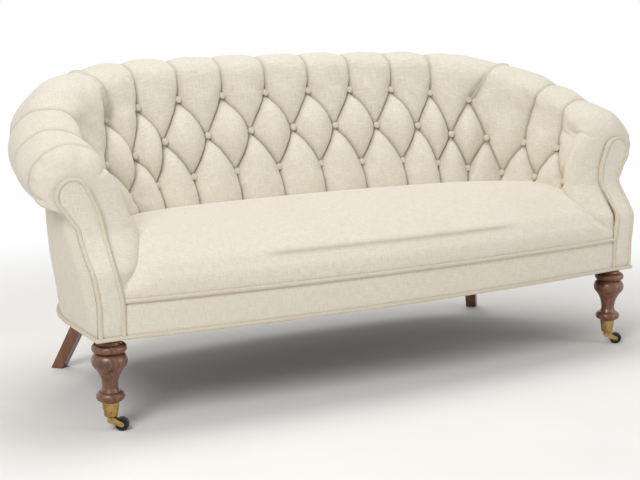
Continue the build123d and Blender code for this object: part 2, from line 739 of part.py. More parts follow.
def cover_face(s):
    """Section of the outside cover."""
    head = neck_z(s) - CLEAR
    hem = neck_z(s) - COVER_TURN
    with BuildSketch() as drawn:
        with BuildLine():
            Polyline(
                (-COVER_T, RAIL_BOTTOM), (0, RAIL_BOTTOM), (0, RAIL_TOP), (NECK, hem), (NECK, head),
                (NECK - COVER_T, head), (NECK - COVER_T, hem), (-COVER_T, RAIL_TOP), close=True,
            )
        make_face()
    return drawn.sketch


with BuildPart() as outside_back_cover:
    for u in BACK_COLUMNS:
        with BuildSketch(section_plane(u * PITCH)):
            add(cover_face(u * PITCH))
    loft(ruled=True)
    for piece in (back_seat_rail, left_side_rail, right_side_rail):
        add(piece.part, mode=Mode.SUBTRACT)

with BuildPart() as right_outside_cover:
    for s in ARM_STATIONS:
        with BuildSketch(section_plane(s)):
            add(cover_face(s))
    loft(ruled=True)
    with BuildSketch(Plane.YZ):
        add(sweep_band(FACING_T - 200, FACING_T))
    extrude(amount=2 * BASE_HALF, mode=Mode.SUBTRACT)
    for piece in (right_arm_post, right_side_rail, right_arm_pad):
        add(piece.part, mode=Mode.SUBTRACT)
with BuildPart() as left_outside_cover:
    mirror(right_outside_cover.part, about=Plane.YZ)

# Arm facings and their piping
with BuildPart() as right_arm_facing:
    with BuildSketch(Plane.XZ):
        add(facing_face(0, RAIL_BOTTOM))
    extrude(amount=-2 * FRONT_Y, both=True)
    with BuildSketch(Plane.YZ):
        add(sweep_band(0, FACING_T))
    extrude(amount=2 * BASE_HALF, mode=Mode.INTERSECT)
with BuildPart() as left_arm_facing:
    mirror(right_arm_facing.part, about=Plane.YZ)

PIPE_FOOT = RAIL_BOTTOM + WELT_H + 1
with BuildPart() as right_facing_piping:
    with BuildSketch(Plane.XZ):
        add(facing_face(0, PIPE_FOOT))
        add(facing_face(WELT_H, PIPE_FOOT - WELT_H), mode=Mode.SUBTRACT)
    extrude(amount=-2 * FRONT_Y, both=True)
    with BuildSketch(Plane.YZ):
        add(sweep_band(-WELT, 0))
    extrude(amount=2 * BASE_HALF, mode=Mode.INTERSECT)
with BuildPart() as left_facing_piping:
    mirror(right_facing_piping.part, about=Plane.YZ)

# Front border, seat piping and base piping
with BuildPart() as front_border:
    with BuildSketch(Plane.XY.offset(RAIL_BOTTOM)):
        add(front_band(FRONT_HALF, 0, FACING_T))
    extrude(amount=RAIL_TOP - RAIL_BOTTOM)

SEAT_PIPE_Z = RAIL_TOP - 2
with BuildPart() as seat_piping:
    with BuildSketch(Plane.XY.offset(SEAT_PIPE_Z)):
        add(front_band(FRONT_HALF - CLEAR, -WELT, 0))
    extrude(amount=WELT_H)
    nose = seat_piping.faces().sort_by(SortBy.AREA)[-1]
    chamfer(nose.edges().filter_by(lambda edge: edge.length > FRONT_HALF), length=WELT / 3)

BASE_PIPE_Z = PIPE_FOOT - WELT_H


def base_outline(out):
    """Plan of the base with its bowed front, moved outwards."""
    x, y = BASE_HALF + out, FRONT_Y - out
    with BuildSketch() as drawn:
        with BuildLine():
            along(-SIDE_END - out, SIDE_END + out, out)
            for side in (-1, 1):
                Line((side * x, y), (side * FRONT_HALF, y))
            ThreePointArc((-FRONT_HALF, y), (0, front_y(0, -out)), (FRONT_HALF, y))
        make_face()
    return drawn.sketch


with BuildPart() as base_piping:
    with BuildSketch(Plane.XY.offset(BASE_PIPE_Z)):
        add(base_outline(WELT))
        add(base_outline(0), mode=Mode.SUBTRACT)
    extrude(amount=WELT_H)

# Under the seat: zigzag springs from the front rail to the back rail, tie wires, hessian and a dust cover
WIRE = 4.0
SPRING_SIDE = 145.0      # outer springs from the arm facings
SPRING_X = [k * (FRONT_HALF - SPRING_SIDE) for k in (-1, -0.75, -0.25, 0, 0.25, 0.75, 1)]
SPRING_HALF = 26.0       # half the width of a zigzag
SPRING_STEPS = 22
SPRING_GAP = 1.8         # behind the bowed inner face of the front rail
CLIP = (30.0, 24.0, 8.0)  # width, depth and height of the clips under the spring ends


def spring_ends(x):
    """Front and back end of the spring at x, at the inner faces of the rails."""
    near = front_y(x, FACING_T + RAIL_T) + SPRING_GAP
    reach = abs(x) + SPRING_HALF - CORNER_X
    corner = CORNER_Y + sqrt((CORNER_R + RAIL_IN) ** 2 - max(0.0, reach) ** 2)
    return near, min(corner, BACK_Y + RAIL_IN - FRONT_BOW / 2) - CLEAR


with BuildPart() as seat_springs:
    for x in SPRING_X:
        near, far = spring_ends(x)
        step = (far - near) / SPRING_STEPS
        bends = []
        for i in range(1, SPRING_STEPS):
            bends.append((x + (SPRING_HALF if i // 2 % 2 else -SPRING_HALF), near + step * i))
        with BuildSketch(Plane.XY.offset(RAIL_TOP - WIRE)):
            with BuildLine():
                Polyline([(x, near), *bends, (x, far)])
            trace(line_width=WIRE)
        extrude(amount=WIRE)

with BuildPart() as spring_clips:
    with BuildSketch(Plane.XY.offset(RAIL_TOP - WIRE - CLIP[2])):
        for x in SPRING_X:
            for y in spring_ends(x):
                with Locations((x, y)):
                    Rectangle(CLIP[0], CLIP[1])
    extrude(amount=CLIP[2])
    for piece in (front_seat_rail, back_seat_rail, left_side_rail, right_side_rail):
        add(piece.part, mode=Mode.SUBTRACT)

TIE_Y = (-130.0, 60.0)
with BuildPart() as spring_ties:
    for y in TIE_Y:
        with Locations((0, y, RAIL_TOP - 1.5 * WIRE)):
            Box(2 * SPRING_X[-1] + WIRE, WIRE, WIRE)
HESSIAN_T = 2.0
HESSIAN_HALF = BASE_HALF + RAIL_IN - 2
HESSIAN_IN = COVER_T + 10  # edge behind the bowed front
with BuildPart() as spring_hessian:
    with BuildSketch(Plane.XY.offset(RAIL_TOP)):
        with BuildLine():
            along(-SIDE_RAIL_END, SIDE_RAIL_END, RAIL_IN - 2)
            for side in (-1, 1):
                corner = (side * HESSIAN_HALF, front_y(FRONT_HALF, HESSIAN_IN))
                Line(place(side * SIDE_RAIL_END, RAIL_IN - 2)[:2], corner)
            end = front_y(FRONT_HALF, HESSIAN_IN)
            ThreePointArc((-HESSIAN_HALF, end), (0, front_y(0, HESSIAN_IN)), (HESSIAN_HALF, end))
        make_face()
    extrude(amount=HESSIAN_T)
    for piece in (right_arm_post, left_arm_post):
        add(piece.part, mode=Mode.SUBTRACT)

DUST_T = 2.0
LEG_HOLE = 72.0
with BuildPart() as dust_cover:
    with BuildSketch(Plane.XY.offset(RAIL_BOTTOM - DUST_T)):
        add(base_outline(-18))
        for x, y in ((LEG_X, LEG_Y), BACK_LEG_TOP):
            with Locations((x, y), (-x, y)):
                Circle(LEG_HOLE / 2 + (0 if y < 0 else 8), mode=Mode.SUBTRACT)
    extrude(amount=DUST_T)

# Seat pad: crowned, with a rounded front and ends drawn in against the arms
SEAT_FOOT = RAIL_TOP + HESSIAN_T
NOSE_UP = 90.0           # rise of the rounded front
NOSE_IN = 60.0           # depth of the rounded front
SEAT_GAP = 15.0          # seat edge in front of the foot of the pads


def seat_back(x):
    """Back edge of the seat at x: along the foot of the pads and round the front of the arms."""
    s, last = 0.0, None
    while s <= SIDE_END:
        o = nosed(s, eased(s, SEAT_LINE) - SEAT_GAP, PAD_BOTTOM, (FOOT_SHUT - SEAT_GAP, PAD_BOTTOM))[0]
        px, py = place(s, o)[:2]
        if px >= x and last is not None:
            return last[1] + (py - last[1]) * (x - last[0]) / (px - last[0])
        last = (px, py)
        s += 4.0
    return last[1]


SEAT_END_R = 90.0        # length over which the ends of the seat round off
SEAT_END_MIN = 0.3       # share of the end's height left at the facing
SEAT_STEPS = [0, 7, 23, 45, 63, 73.5, 77, 85, 103, 135, 185, 245, 315, 405, 505, 645]
SEAT_ENDS = [FRONT_HALF - step for step in SEAT_STEPS]
with BuildPart() as seat_pad:
    for x in [-v for v in SEAT_ENDS] + [0] + SEAT_ENDS[::-1]:
        near = front_y(min(abs(x), FRONT_HALF))
        far = seat_back(abs(x))
        depth = far - near
        end = min(1.0, max(SEAT_END_MIN, (FRONT_HALF - abs(x)) / SEAT_END_R)) ** 0.5
        front = (near, SEAT_FOOT + 8)
        brow = (near + min(NOSE_IN, 0.36 * depth), SEAT_FOOT + 8 + NOSE_UP * end)
        back = (far, SEAT_FOOT + 8 + (SEAT_EDGE - SEAT_FOOT - 8) * end)
        swell = min((SEAT_CROWN - 0.5 * (SEAT_EDGE + SEAT_FOOT + 8 + NOSE_UP)) * end, 0.2 * depth)
        with BuildSketch(Plane(origin=(x, 0, 0), x_dir=(0, 1, 0), z_dir=(1, 0, 0))):
            with BuildLine():
                Line((near, SEAT_FOOT), front)
                ThreePointArc(front, bowed(front, brow, 0.3 * (brow[0] - near)), brow)
                ThreePointArc(brow, bowed(brow, back, swell), back)
                Polyline(back, (far, SEAT_FOOT), (near, SEAT_FOOT))
            make_face()
    loft(ruled=True)

# Castors: the right one is drawn, the left one is the same casting moved across
CUP_R = (21.5, 16.5)     # outside radius at the top and at the bottom
CUP_WALL = 2.5
CUP_FLOOR = 6.0
SCREW_Z = 62.0
SCREW_R = 1.6
SCREW_HEAD_R = 3.2
LEG_END = 52.0
PLAY = 0.2               # end play of the swivel
HORN_TOP = CUP_BOTTOM - PLAY
CHEEK = 2.5
CHEEK_IN = WHEEL_W / 2 + 1.2
TRAIL_DIR = (cos(radians(TRAIL_TURN)), sin(radians(TRAIL_TURN)), 0)
HORN_PLANE = Plane(origin=(LEG_X, LEG_Y, 0), x_dir=TRAIL_DIR, z_dir=(TRAIL_DIR[1], -TRAIL_DIR[0], 0))
LEFT = Location((-2 * LEG_X, 0, 0))


def cup_radius(z, wall=0.0):
    """Radius of the tapered cup at height z."""
    return CUP_R[1] + (CUP_R[0] - CUP_R[1]) * (z - CUP_BOTTOM) / (CUP_TOP - CUP_BOTTOM) - wall


AXIS_PLANE = Plane(origin=(LEG_X, LEG_Y, 0), x_dir=(1, 0, 0), z_dir=(0, -1, 0))
LEG_AXIS = Axis((LEG_X, LEG_Y, 0), (0, 0, 1))

with BuildPart() as right_cup_screws:
    for side in (-1, 1):
        face = cup_radius(SCREW_Z)
        with Locations(Plane(origin=(LEG_X + side * face, LEG_Y, SCREW_Z), z_dir=(side, 0, 0))):
            with Locations((0, 0, 0.4)):
                Cylinder(SCREW_HEAD_R, 1.6)
            Cylinder(SCREW_R, 10, align=(Align.CENTER, Align.CENTER, Align.MAX))

with BuildPart() as right_castor_cup:
    with BuildSketch(AXIS_PLANE):
        with BuildLine():
            floor_top = CUP_BOTTOM + CUP_FLOOR
            Polyline(
                (PIN_R + RUN, CUP_BOTTOM), (cup_radius(CUP_BOTTOM) - 1.5, CUP_BOTTOM),
                (cup_radius(CUP_BOTTOM + 2), CUP_BOTTOM + 2), (cup_radius(CUP_TOP), CUP_TOP),
                (cup_radius(CUP_TOP, CUP_WALL), CUP_TOP), (cup_radius(floor_top, CUP_WALL), floor_top),
                (PIN_R + RUN, floor_top), close=True,
            )
        make_face()
    revolve(axis=LEG_AXIS)
    add(right_cup_screws.part, mode=Mode.SUBTRACT)

with BuildPart() as right_castor_horn:
    with BuildSketch(AXIS_PLANE):
        with BuildLine():
            head_z = CUP_BOTTOM + CUP_FLOOR + PLAY
            Polyline(
                (0, HORN_TOP - 6), (9, HORN_TOP - 6), (9, HORN_TOP), (PIN_R, HORN_TOP), (PIN_R, head_z),
                (7, head_z), (7, head_z + 2), (0, head_z + 2), close=True,
            )
        make_face()
    revolve(axis=LEG_AXIS)
    for start in (CHEEK_IN, -CHEEK_IN - CHEEK):
        with BuildSketch(HORN_PLANE.offset(start)):
            with Locations((-1, HORN_TOP - 8)):
                Rectangle(14, 12)
            with Locations((TRAIL, WHEEL_R)):
                Circle(6)
            make_hull()
            with Locations((TRAIL, WHEEL_R)):
                Circle(AXLE_R, mode=Mode.SUBTRACT)
        extrude(amount=CHEEK)
    with BuildSketch(HORN_PLANE.offset(-CHEEK_IN)):
        with Locations((-1, HORN_TOP - 8)):
            Rectangle(14, 12)
    extrude(amount=2 * CHEEK_IN)

AXLE_L = 2 * (CHEEK_IN + CHEEK) + 1.6
WHEEL_CENTRE = HORN_PLANE.location * Pos(TRAIL, WHEEL_R, 0)
with BuildPart() as right_castor_axle:
    with Locations(WHEEL_CENTRE):
        Cylinder(AXLE_R, AXLE_L)

HUB_R = 7.0
WHEEL_DISH = 2.0         # the sides are dished between tread and hub
with BuildPart() as right_castor_wheel:
    with BuildSketch(Plane(WHEEL_CENTRE) * Plane.XZ):
        with BuildLine():
            w = WHEEL_W / 2
            half_rim = [
                (AXLE_R + RUN, -w), (HUB_R, -w), (HUB_R + 1, -w + WHEEL_DISH), (WHEEL_R - 5, -w + WHEEL_DISH),
                (WHEEL_R - 4, -w), (WHEEL_R - 1.5, -w), (WHEEL_R, -w + 1.5),
            ]
            Polyline(*half_rim, *[(r, -h) for r, h in half_rim[::-1]], close=True)
        make_face()
    revolve(axis=Axis(Plane(WHEEL_CENTRE).origin, Plane(WHEEL_CENTRE).z_dir))

# Turned front leg: collar, ring, shoulder, vase, lower ring, end in the cup, pin in the arm post
with BuildPart() as right_front_leg:
    with BuildSketch(AXIS_PLANE):
        with BuildLine():
            pin_top = RAIL_BOTTOM + LEG_PIN_L
            Polyline((0, pin_top), (LEG_PIN_R, pin_top), (LEG_PIN_R, RAIL_BOTTOM))
            top, low = RAIL_BOTTOM, CUP_TOP
            waist, vase = (20, low + 37), (39, top - 74)
            Polyline((LEG_PIN_R, top), (34, top), (30, top - 8), (32, top - 14))
            ThreePointArc((32, top - 14), (44, top - 26), (33, top - 37))
            Line((33, top - 37), (36, top - 39))
            ThreePointArc((36, top - 39), (45, top - 54), vase)
            ThreePointArc(vase, (23, (vase[1] + waist[1]) / 2 - 1), waist)
            Line(waist, (24, low + 28))
            ThreePointArc((24, low + 28), (36, low + 15), (25, low + 3))
            Polyline(
                (25, low + 3), (cup_radius(CUP_TOP), CUP_TOP), (cup_radius(CUP_TOP, CUP_WALL), CUP_TOP),
                (cup_radius(LEG_END, CUP_WALL), LEG_END), (0, LEG_END), (0, pin_top),
            )
        make_face()
    revolve(axis=LEG_AXIS)
    add(right_cup_screws.part, mode=Mode.SUBTRACT)

with BuildPart() as left_front_leg:
    with Locations(LEFT):
        add(right_front_leg.part)
with BuildPart() as left_castor_cup:
    with Locations(LEFT):
        add(right_castor_cup.part)
with BuildPart() as left_cup_screws:
    with Locations(LEFT):
        add(right_cup_screws.part)
with BuildPart() as left_castor_horn:
    with Locations(LEFT):
        add(right_castor_horn.part)
with BuildPart() as left_castor_axle:
    with Locations(LEFT):
        add(right_castor_axle.part)
with BuildPart() as left_castor_wheel:
    with Locations(LEFT):
        add(right_castor_wheel.part)

# Hand over every piece as its own solid file
PARTS = {
    "front_seat_rail": front_seat_rail,
    "back_seat_rail": back_seat_rail,
    "left_side_rail": left_side_rail,
    "right_side_rail": right_side_rail,
    "seat_stretchers": seat_stretchers,
    "corner_blocks": corner_blocks,
    "frame_tenons": frame_tenons,
    "left_arm_post": left_arm_post,
    "right_arm_post": right_arm_post,
    "back_top_rail": back_top_rail,
    "left_arm_rail": left_arm_rail,
    "right_arm_rail": right_arm_rail,
    "back_uprights": back_uprights,
    "back_stuffing_rail": back_stuffing_rail,
    "left_stuffing_rail": left_stuffing_rail,
    "right_stuffing_rail": right_stuffing_rail,
    "seat_springs": seat_springs,
    "spring_clips": spring_clips,
    "spring_ties": spring_ties,
    "spring_hessian": spring_hessian,
    "dust_cover": dust_cover,
    "seat_pad": seat_pad,
    "front_border": front_border,
    "seat_piping": seat_piping,
    "base_piping": base_piping,
    "inside_back_pad": inside_back_pad,
    "left_arm_pad": left_arm_pad,
    "right_arm_pad": right_arm_pad,
    "back_buttons": back_buttons,
    "left_arm_buttons": left_arm_buttons,
    "right_arm_buttons": right_arm_buttons,
    "outside_back_cover": outside_back_cover,
    "left_outside_cover": left_outside_cover,
    "right_outside_cover": right_outside_cover,
    "left_arm_facing": left_arm_facing,
    "right_arm_facing": right_arm_facing,
    "left_facing_piping": left_facing_piping,
    "right_facing_piping": right_facing_piping,
    "left_front_leg": left_front_leg,
    "right_front_leg": right_front_leg,
    "left_back_leg": left_back_leg,
    "right_back_leg": right_back_leg,
    "back_leg_bolts": back_leg_bolts,
    "left_castor_cup": left_castor_cup,
    "right_castor_cup": right_castor_cup,
    "left_cup_screws": left_cup_screws,
    "right_cup_screws": right_cup_screws,
    "left_castor_horn": left_castor_horn,
    "right_castor_horn": right_castor_horn,
    "left_castor_axle": left_castor_axle,
    "right_castor_axle": right_castor_axle,
    "left_castor_wheel": left_castor_wheel,
    "right_castor_wheel": right_castor_wheel,
}
os.makedirs("parts", exist_ok=True)
for name, piece in PARTS.items():
    piece.part.label = name
    export_step(piece.part, f"parts/{name}.step")
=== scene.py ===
"""A buttoned settee with scroll arms: cloth, piping, buttons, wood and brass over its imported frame."""

import json
import logging
import math
from collections.abc import Sequence
from dataclasses import dataclass, field
from enum import Enum

import bpy
import numpy as np
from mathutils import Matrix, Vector


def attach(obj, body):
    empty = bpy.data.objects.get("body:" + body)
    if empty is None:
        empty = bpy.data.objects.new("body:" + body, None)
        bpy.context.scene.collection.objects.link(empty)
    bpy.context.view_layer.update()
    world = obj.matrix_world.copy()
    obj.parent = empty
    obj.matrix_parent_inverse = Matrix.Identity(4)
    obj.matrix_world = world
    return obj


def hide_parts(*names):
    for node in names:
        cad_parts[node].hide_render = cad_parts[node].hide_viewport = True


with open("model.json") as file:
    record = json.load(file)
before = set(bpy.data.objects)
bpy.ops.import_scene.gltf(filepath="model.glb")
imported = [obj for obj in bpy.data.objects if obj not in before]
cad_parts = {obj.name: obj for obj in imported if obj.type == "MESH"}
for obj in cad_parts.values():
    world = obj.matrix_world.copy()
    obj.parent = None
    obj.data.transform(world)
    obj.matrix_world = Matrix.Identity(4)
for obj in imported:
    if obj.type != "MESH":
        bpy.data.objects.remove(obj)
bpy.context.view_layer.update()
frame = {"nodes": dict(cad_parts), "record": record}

LOG = logging.getLogger("settee")
BODY = "settee"
UV_NAME = "cloth"
# mesh attribute that holds the painted shade in pleats and creases, from 0 to 1
FOLD_SHADE_NAME = "fold"
SEED = 11
NEAR_UPRIGHT = 0.2  # sine of the angle to the upright below which a cord starts from another direction

Pair = tuple[float, float]
Table = tuple[Pair, ...]
Face = tuple[int, ...]
Array = np.ndarray
Piece = bpy.types.Object
Material = bpy.types.Material
Tree = bpy.types.NodeTree
Socket = bpy.types.NodeSocket


class Slot(Enum):
    """Material slots of the record."""

    COVER = "cover_cloth"
    PIPING = "piping_cloth"
    BUTTON = "button_cloth"
    LEG = "leg_wood"
    FRAME = "frame_wood"
    BRASS = "brass"
    WHEEL = "castor_wheel"
    STEEL = "steel"
    HESSIAN = "hessian"
    DUST = "dust_cloth"


class Side(Enum):
    """Left and right as seen by a person who faces the settee, as the sign of X."""

    LEFT = -1
    RIGHT = 1

    def node(self, name: str) -> str:
        """Name of this side's CAD node."""
        return f"{self.name.lower()}_{name}"


def linear(code: str) -> tuple[float, float, float, float]:
    """Turn an sRGB hex colour into linear values.

    Args:
        code: six hex digits after a hash sign.

    Returns:
        Red, green, blue and an alpha of 1.
    """
    parts = [int(code[i : i + 2], 16) / 255 for i in (1, 3, 5)]
    r, g, b = (p / 12.92 if p <= 0.04045 else ((p + 0.055) / 1.055) ** 2.4 for p in parts)
    return r, g, b, 1.0


def add_node(
    tree: Tree, kind: str, inputs: dict | None = None, out: str | int = 0, **settings: object
) -> Socket | None:
    """Add one shader node.

    Args:
        tree: the node tree it goes into.
        kind: the node's type, without its ShaderNode prefix.
        inputs: what goes into its sockets, by name or number: a constant or an output of another node.
        out: the output that is wanted, by name or number.
        **settings: attributes of the node.

    Returns:
        That output of the new node, or None for a node without outputs.
    """
    made = tree.nodes.new("ShaderNode" + kind)
    for name, value in settings.items():
        setattr(made, name, value)
    for name, value in (inputs or {}).items():
        if isinstance(value, Socket):
            tree.links.new(value, made.inputs[name])
        else:
            made.inputs[name].default_value = value
    return made.outputs[out] if made.outputs else None


def blank_material(name: str) -> tuple[Material, Tree]:
    """Make an empty node material.

    Args:
        name: the material's name.

    Returns:
        The material and its node tree.
    """
    made = bpy.data.materials.new(name)
    made.use_nodes = True
    made.node_tree.nodes.clear()
    return made, made.node_tree


WHITE = (1.0, 1.0, 1.0, 1.0)
WAVE_TURN = 2 * math.pi / 20  # a wave texture's period at scale 1


@dataclass(frozen=True)
class Linen:
    """Plain-woven linen: pale matt threads, slubs that catch the light, soft sheen at a glance, painted shade
    in pleats and creases.

    The real threads are about 0.9 mm apart, too fine to show, so they are drawn coarser.
    """

    name: str
    light: str = "#e9e3d6"
    dark: str = "#cdc3b1"
    # painted shade: the colour that pleats and creases are darkened towards
    crease: str = "#958a76"
    thread_mm: float = 2.6
    slub_mm: float = 26.0
    slub_thin: float = 9.0  # how many times longer than wide a slub is
    patch_mm: float = 312.5  # worn patches
    patch_share: float = 0.14
    # how far the painted shade in pleats and creases goes towards that colour
    crease_shade_share: float = 0.75
    turn: float = 0.0
    roughness: float = 0.82
    bump_mm: float = 0.5

    def threads(self, tree: Tree) -> Socket:
        """Weave the threads, with slubs along both.

        Args:
            tree: the node tree they go into.

        Returns:
            A socket that gives how high each place stands, from 0 to 1.
        """
        uv = add_node(tree, "UVMap", uv_map=UV_NAME)
        laid = add_node(tree, "Mapping", {"Rotation": (0, 0, self.turn), "Vector": uv})
        scale = WAVE_TURN / (self.thread_mm / 1000)
        wave = {"Scale": scale, "Distortion": 0.8, "Detail": 1.0, "Detail Scale": 0.4, "Vector": laid}
        ways, slubs = [], []
        for axis, stretch in (("X", (1.0, self.slub_thin, 1.0)), ("Y", (self.slub_thin, 1.0, 1.0))):
            thread = add_node(tree, "TexWave", wave, "Fac", bands_direction=axis)
            ways.append(add_node(tree, "Math", {0: thread, 1: 0.5}, operation="SUBTRACT"))
            drawn = add_node(tree, "Mapping", {"Scale": stretch, "Vector": laid})
            slub = {"Scale": 1000 / self.slub_mm, "Detail": 3.0, "Roughness": 0.6, "Vector": drawn}
            slubs.append(add_node(tree, "TexNoise", slub, "Fac"))
        weave = add_node(tree, "Math", dict(enumerate(ways)), operation="MULTIPLY")
        highest = add_node(tree, "Math", dict(enumerate(slubs)), operation="MAXIMUM")
        return add_node(tree, "Math", {0: weave, 1: 0.9, 2: highest}, operation="MULTIPLY_ADD")

    def material(self) -> Material:
        """Build the node material of the cloth.

        Returns:
            The material.
        """
        made, tree = blank_material(self.name)
        threads = self.threads(tree)
        tone = add_node(tree, "MapRange", {"Value": threads, "From Min": 0.34, "From Max": 0.78})
        ends = {"A": linear(self.dark), "B": linear(self.light)}
        base = add_node(tree, "Mix", {"Factor": tone, **ends}, "Result", data_type="RGBA")
        where = add_node(tree, "TexCoord", out="Object")
        patch = {"Scale": 1000 / self.patch_mm, "Detail": 2.0, "Vector": where}
        most = {"From Min": 0.35, "From Max": 0.65, "To Max": self.patch_share}
        worn = add_node(tree, "MapRange", {"Value": add_node(tree, "TexNoise", patch, "Fac"), **most})
        ages = {"Factor": worn, "A": base, "B": linear(self.dark)}
        aged = add_node(tree, "Mix", ages, "Result", data_type="RGBA")
        # Painted shade: darken the cloth towards the crease colour where the fold attribute marks a pleat or
        # crease.
        fold = add_node(tree, "Attribute", out="Fac", attribute_name=FOLD_SHADE_NAME)
        depth = add_node(tree, "Math", {0: fold, 1: self.crease_shade_share}, operation="MULTIPLY")
        folds = {"Factor": depth, "A": aged, "B": linear(self.crease)}
        shaded = add_node(tree, "Mix", folds, "Result", data_type="RGBA")
        worn_to = {"To Min": self.roughness + 0.1, "To Max": self.roughness - 0.08}
        rough = add_node(tree, "MapRange", {"Value": threads, **worn_to})
        bump = add_node(tree, "Bump", {"Strength": 0.55, "Distance": self.bump_mm / 1000, "Height": threads})
        sheen = {"Sheen Weight": 0.18, "Sheen Roughness": 0.45, "Specular IOR Level": 0.25}
        looks = {"Base Color": shaded, "Roughness": rough, "Normal": bump, **sheen}
        add_node(tree, "OutputMaterial", {"Surface": add_node(tree, "BsdfPrincipled", looks)})
        return made


@dataclass(frozen=True)
class Timber:
    """Sawn or turned wood: rings and long pores along the grain, rubbed edges, a coat of polish."""

    name: str
    light: str
    middle: str
    dark: str
    ring_mm: float = 7.0
    pore_mm: float = 1.1
    drift_mm: float = 71.43  # waviness of the rings
    bend_mm: float = 20.0
    ring_squeeze: float = 0.09  # scale along the grain
    pore_squeeze: float = 0.03
    pore_share: float = 0.76
    cloud: float = 0.12
    roughness: float = 0.34
    coat: float = 0.35

    def material(self) -> Material:
        """Build the node material of the wood, with its grain upright.

        Returns:
            The material.
        """
        made, tree = blank_material(self.name)
        where = add_node(tree, "TexCoord", out="Object")
        drawn = add_node(tree, "Mapping", {"Scale": (1.0, 1.0, self.ring_squeeze), "Vector": where})
        wander = {"Scale": 1000 / self.drift_mm, "Detail": 3.0, "Roughness": 0.55, "Vector": drawn}
        drift = add_node(tree, "TexNoise", wander, "Fac")
        bend = {0: drift.node.outputs["Color"], 1: (self.bend_mm / 1000,) * 3, 2: drawn}
        bent = add_node(tree, "VectorMath", bend, operation="MULTIPLY_ADD")
        wave = {"Scale": WAVE_TURN / (self.ring_mm / 1000), "Distortion": 5.5, "Detail": 3.0, "Vector": bent}
        rings = add_node(tree, "TexWave", wave, "Fac", bands_direction="DIAGONAL")
        fine = add_node(tree, "Mapping", {"Scale": (1.0, 1.0, self.pore_squeeze), "Vector": where})
        grain = {"Scale": 1000 / self.pore_mm / 3, "Detail": 2.0, "Roughness": 0.7, "Vector": fine}
        pores = add_node(tree, "TexNoise", grain, "Fac")
        both = {"Factor": self.pore_share, "A": rings, "B": pores}
        tone = add_node(tree, "Mix", both, "Result", data_type="FLOAT")
        clouds = {"From Min": 0.3, "From Max": 0.7, "To Min": -self.cloud, "To Max": self.cloud}
        cloud = add_node(tree, "MapRange", {"Value": drift, **clouds})
        shade = add_node(tree, "Math", {0: tone, 1: cloud}, operation="ADD")
        ramp = add_node(tree, "ValToRGB", {"Fac": shade})
        stops = ramp.node.color_ramp.elements
        stops[0].position, stops[0].color = 0.22, linear(self.dark)
        stops[1].position, stops[1].color = 0.78, linear(self.light)
        stops.new(0.5).color = linear(self.middle)
        edges = add_node(tree, "NewGeometry", out="Pointiness")
        rub = {"Value": edges, "From Min": 0.52, "From Max": 0.62, "To Max": 0.35}
        rubbed = add_node(tree, "MapRange", rub)
        worn = {"Factor": rubbed, "A": ramp, "B": linear(self.light)}
        colour = add_node(tree, "Mix", worn, "Result", data_type="RGBA")
        polish = {"To Min": self.roughness + 0.12, "To Max": self.roughness - 0.06}
        rough = add_node(tree, "MapRange", {"Value": pores, **polish})
        bump = add_node(tree, "Bump", {"Strength": 0.2, "Distance": 0.0004, "Height": pores})
        coat = {"IOR": 1.5, "Coat Weight": self.coat, "Coat Roughness": 0.18}
        looks = {"Base Color": colour, "Roughness": rough, "Normal": bump, **coat}
        add_node(tree, "OutputMaterial", {"Surface": add_node(tree, "BsdfPrincipled", looks)})
        return made


@dataclass(frozen=True)
class Metal:
    """Cast or drawn metal: bright where it is handled, dull and darker in stained patches, faint pits."""

    name: str
    bright: str
    dull: str
    roughness: float = 0.3
    stain_mm: float = 14.286
    pit_mm: float = 1.4

    def material(self) -> Material:
        """Build the node material of the metal.

        Returns:
            The material.
        """
        made, tree = blank_material(self.name)
        where = add_node(tree, "TexCoord", out="Object")
        patch = {"Scale": 1000 / self.stain_mm, "Detail": 4.0, "Roughness": 0.65, "Vector": where}
        stain = add_node(tree, "TexNoise", patch, "Fac")
        pit = {"Scale": 1000 / self.pit_mm, "Detail": 2.0, "Vector": where}
        pits = add_node(tree, "TexNoise", pit, "Fac")
        age = add_node(tree, "MapRange", {"Value": stain, "From Min": 0.42, "From Max": 0.72})
        ends = {"Factor": age, "A": linear(self.bright), "B": linear(self.dull)}
        colour = add_node(tree, "Mix", ends, "Result", data_type="RGBA")
        dulled = {"To Min": self.roughness - 0.06, "To Max": self.roughness + 0.2}
        rough = add_node(tree, "MapRange", {"Value": stain, **dulled})
        bump = add_node(tree, "Bump", {"Strength": 0.15, "Distance": 0.0002, "Height": pits})
        looks = {"Base Color": colour, "Roughness": rough, "Normal": bump, "Metallic": 1.0}
        add_node(tree, "OutputMaterial", {"Surface": add_node(tree, "BsdfPrincipled", looks)})
        return made


@dataclass(frozen=True)
class Moulded:
    """Moulded black wheel: even and slightly shiny, greyed by dust and fine scuffs."""

    name: str
    body: str = "#141415"
    scuff: str = "#3c3b39"
    roughness: float = 0.38
    scuff_mm: float = 3.0

    def material(self) -> Material:
        """Build the node material of the wheel.

        Returns:
            The material.
        """
        made, tree = blank_material(self.name)
        where = add_node(tree, "TexCoord", out="Object")
        fine = {"Scale": 1000 / self.scuff_mm, "Detail": 5.0, "Roughness": 0.7, "Vector": where}
        scuffs = add_node(tree, "TexNoise", fine, "Fac")
        deepest = {"From Min": 0.55, "From Max": 0.75, "To Max": 0.6}
        marks = add_node(tree, "MapRange", {"Value": scuffs, **deepest})
        ends = {"Factor": marks, "A": linear(self.body), "B": linear(self.scuff)}
        colour = add_node(tree, "Mix", ends, "Result", data_type="RGBA")
        rubbed = {"To Min": self.roughness, "To Max": self.roughness + 0.35}
        rough = add_node(tree, "MapRange", {"Value": marks, **rubbed})
        bump = add_node(tree, "Bump", {"Strength": 0.1, "Distance": 0.0002, "Height": scuffs})
        looks = {"Base Color": colour, "Roughness": rough, "Normal": bump, "IOR": 1.5}
        add_node(tree, "OutputMaterial", {"Surface": add_node(tree, "BsdfPrincipled", looks)})
        return made


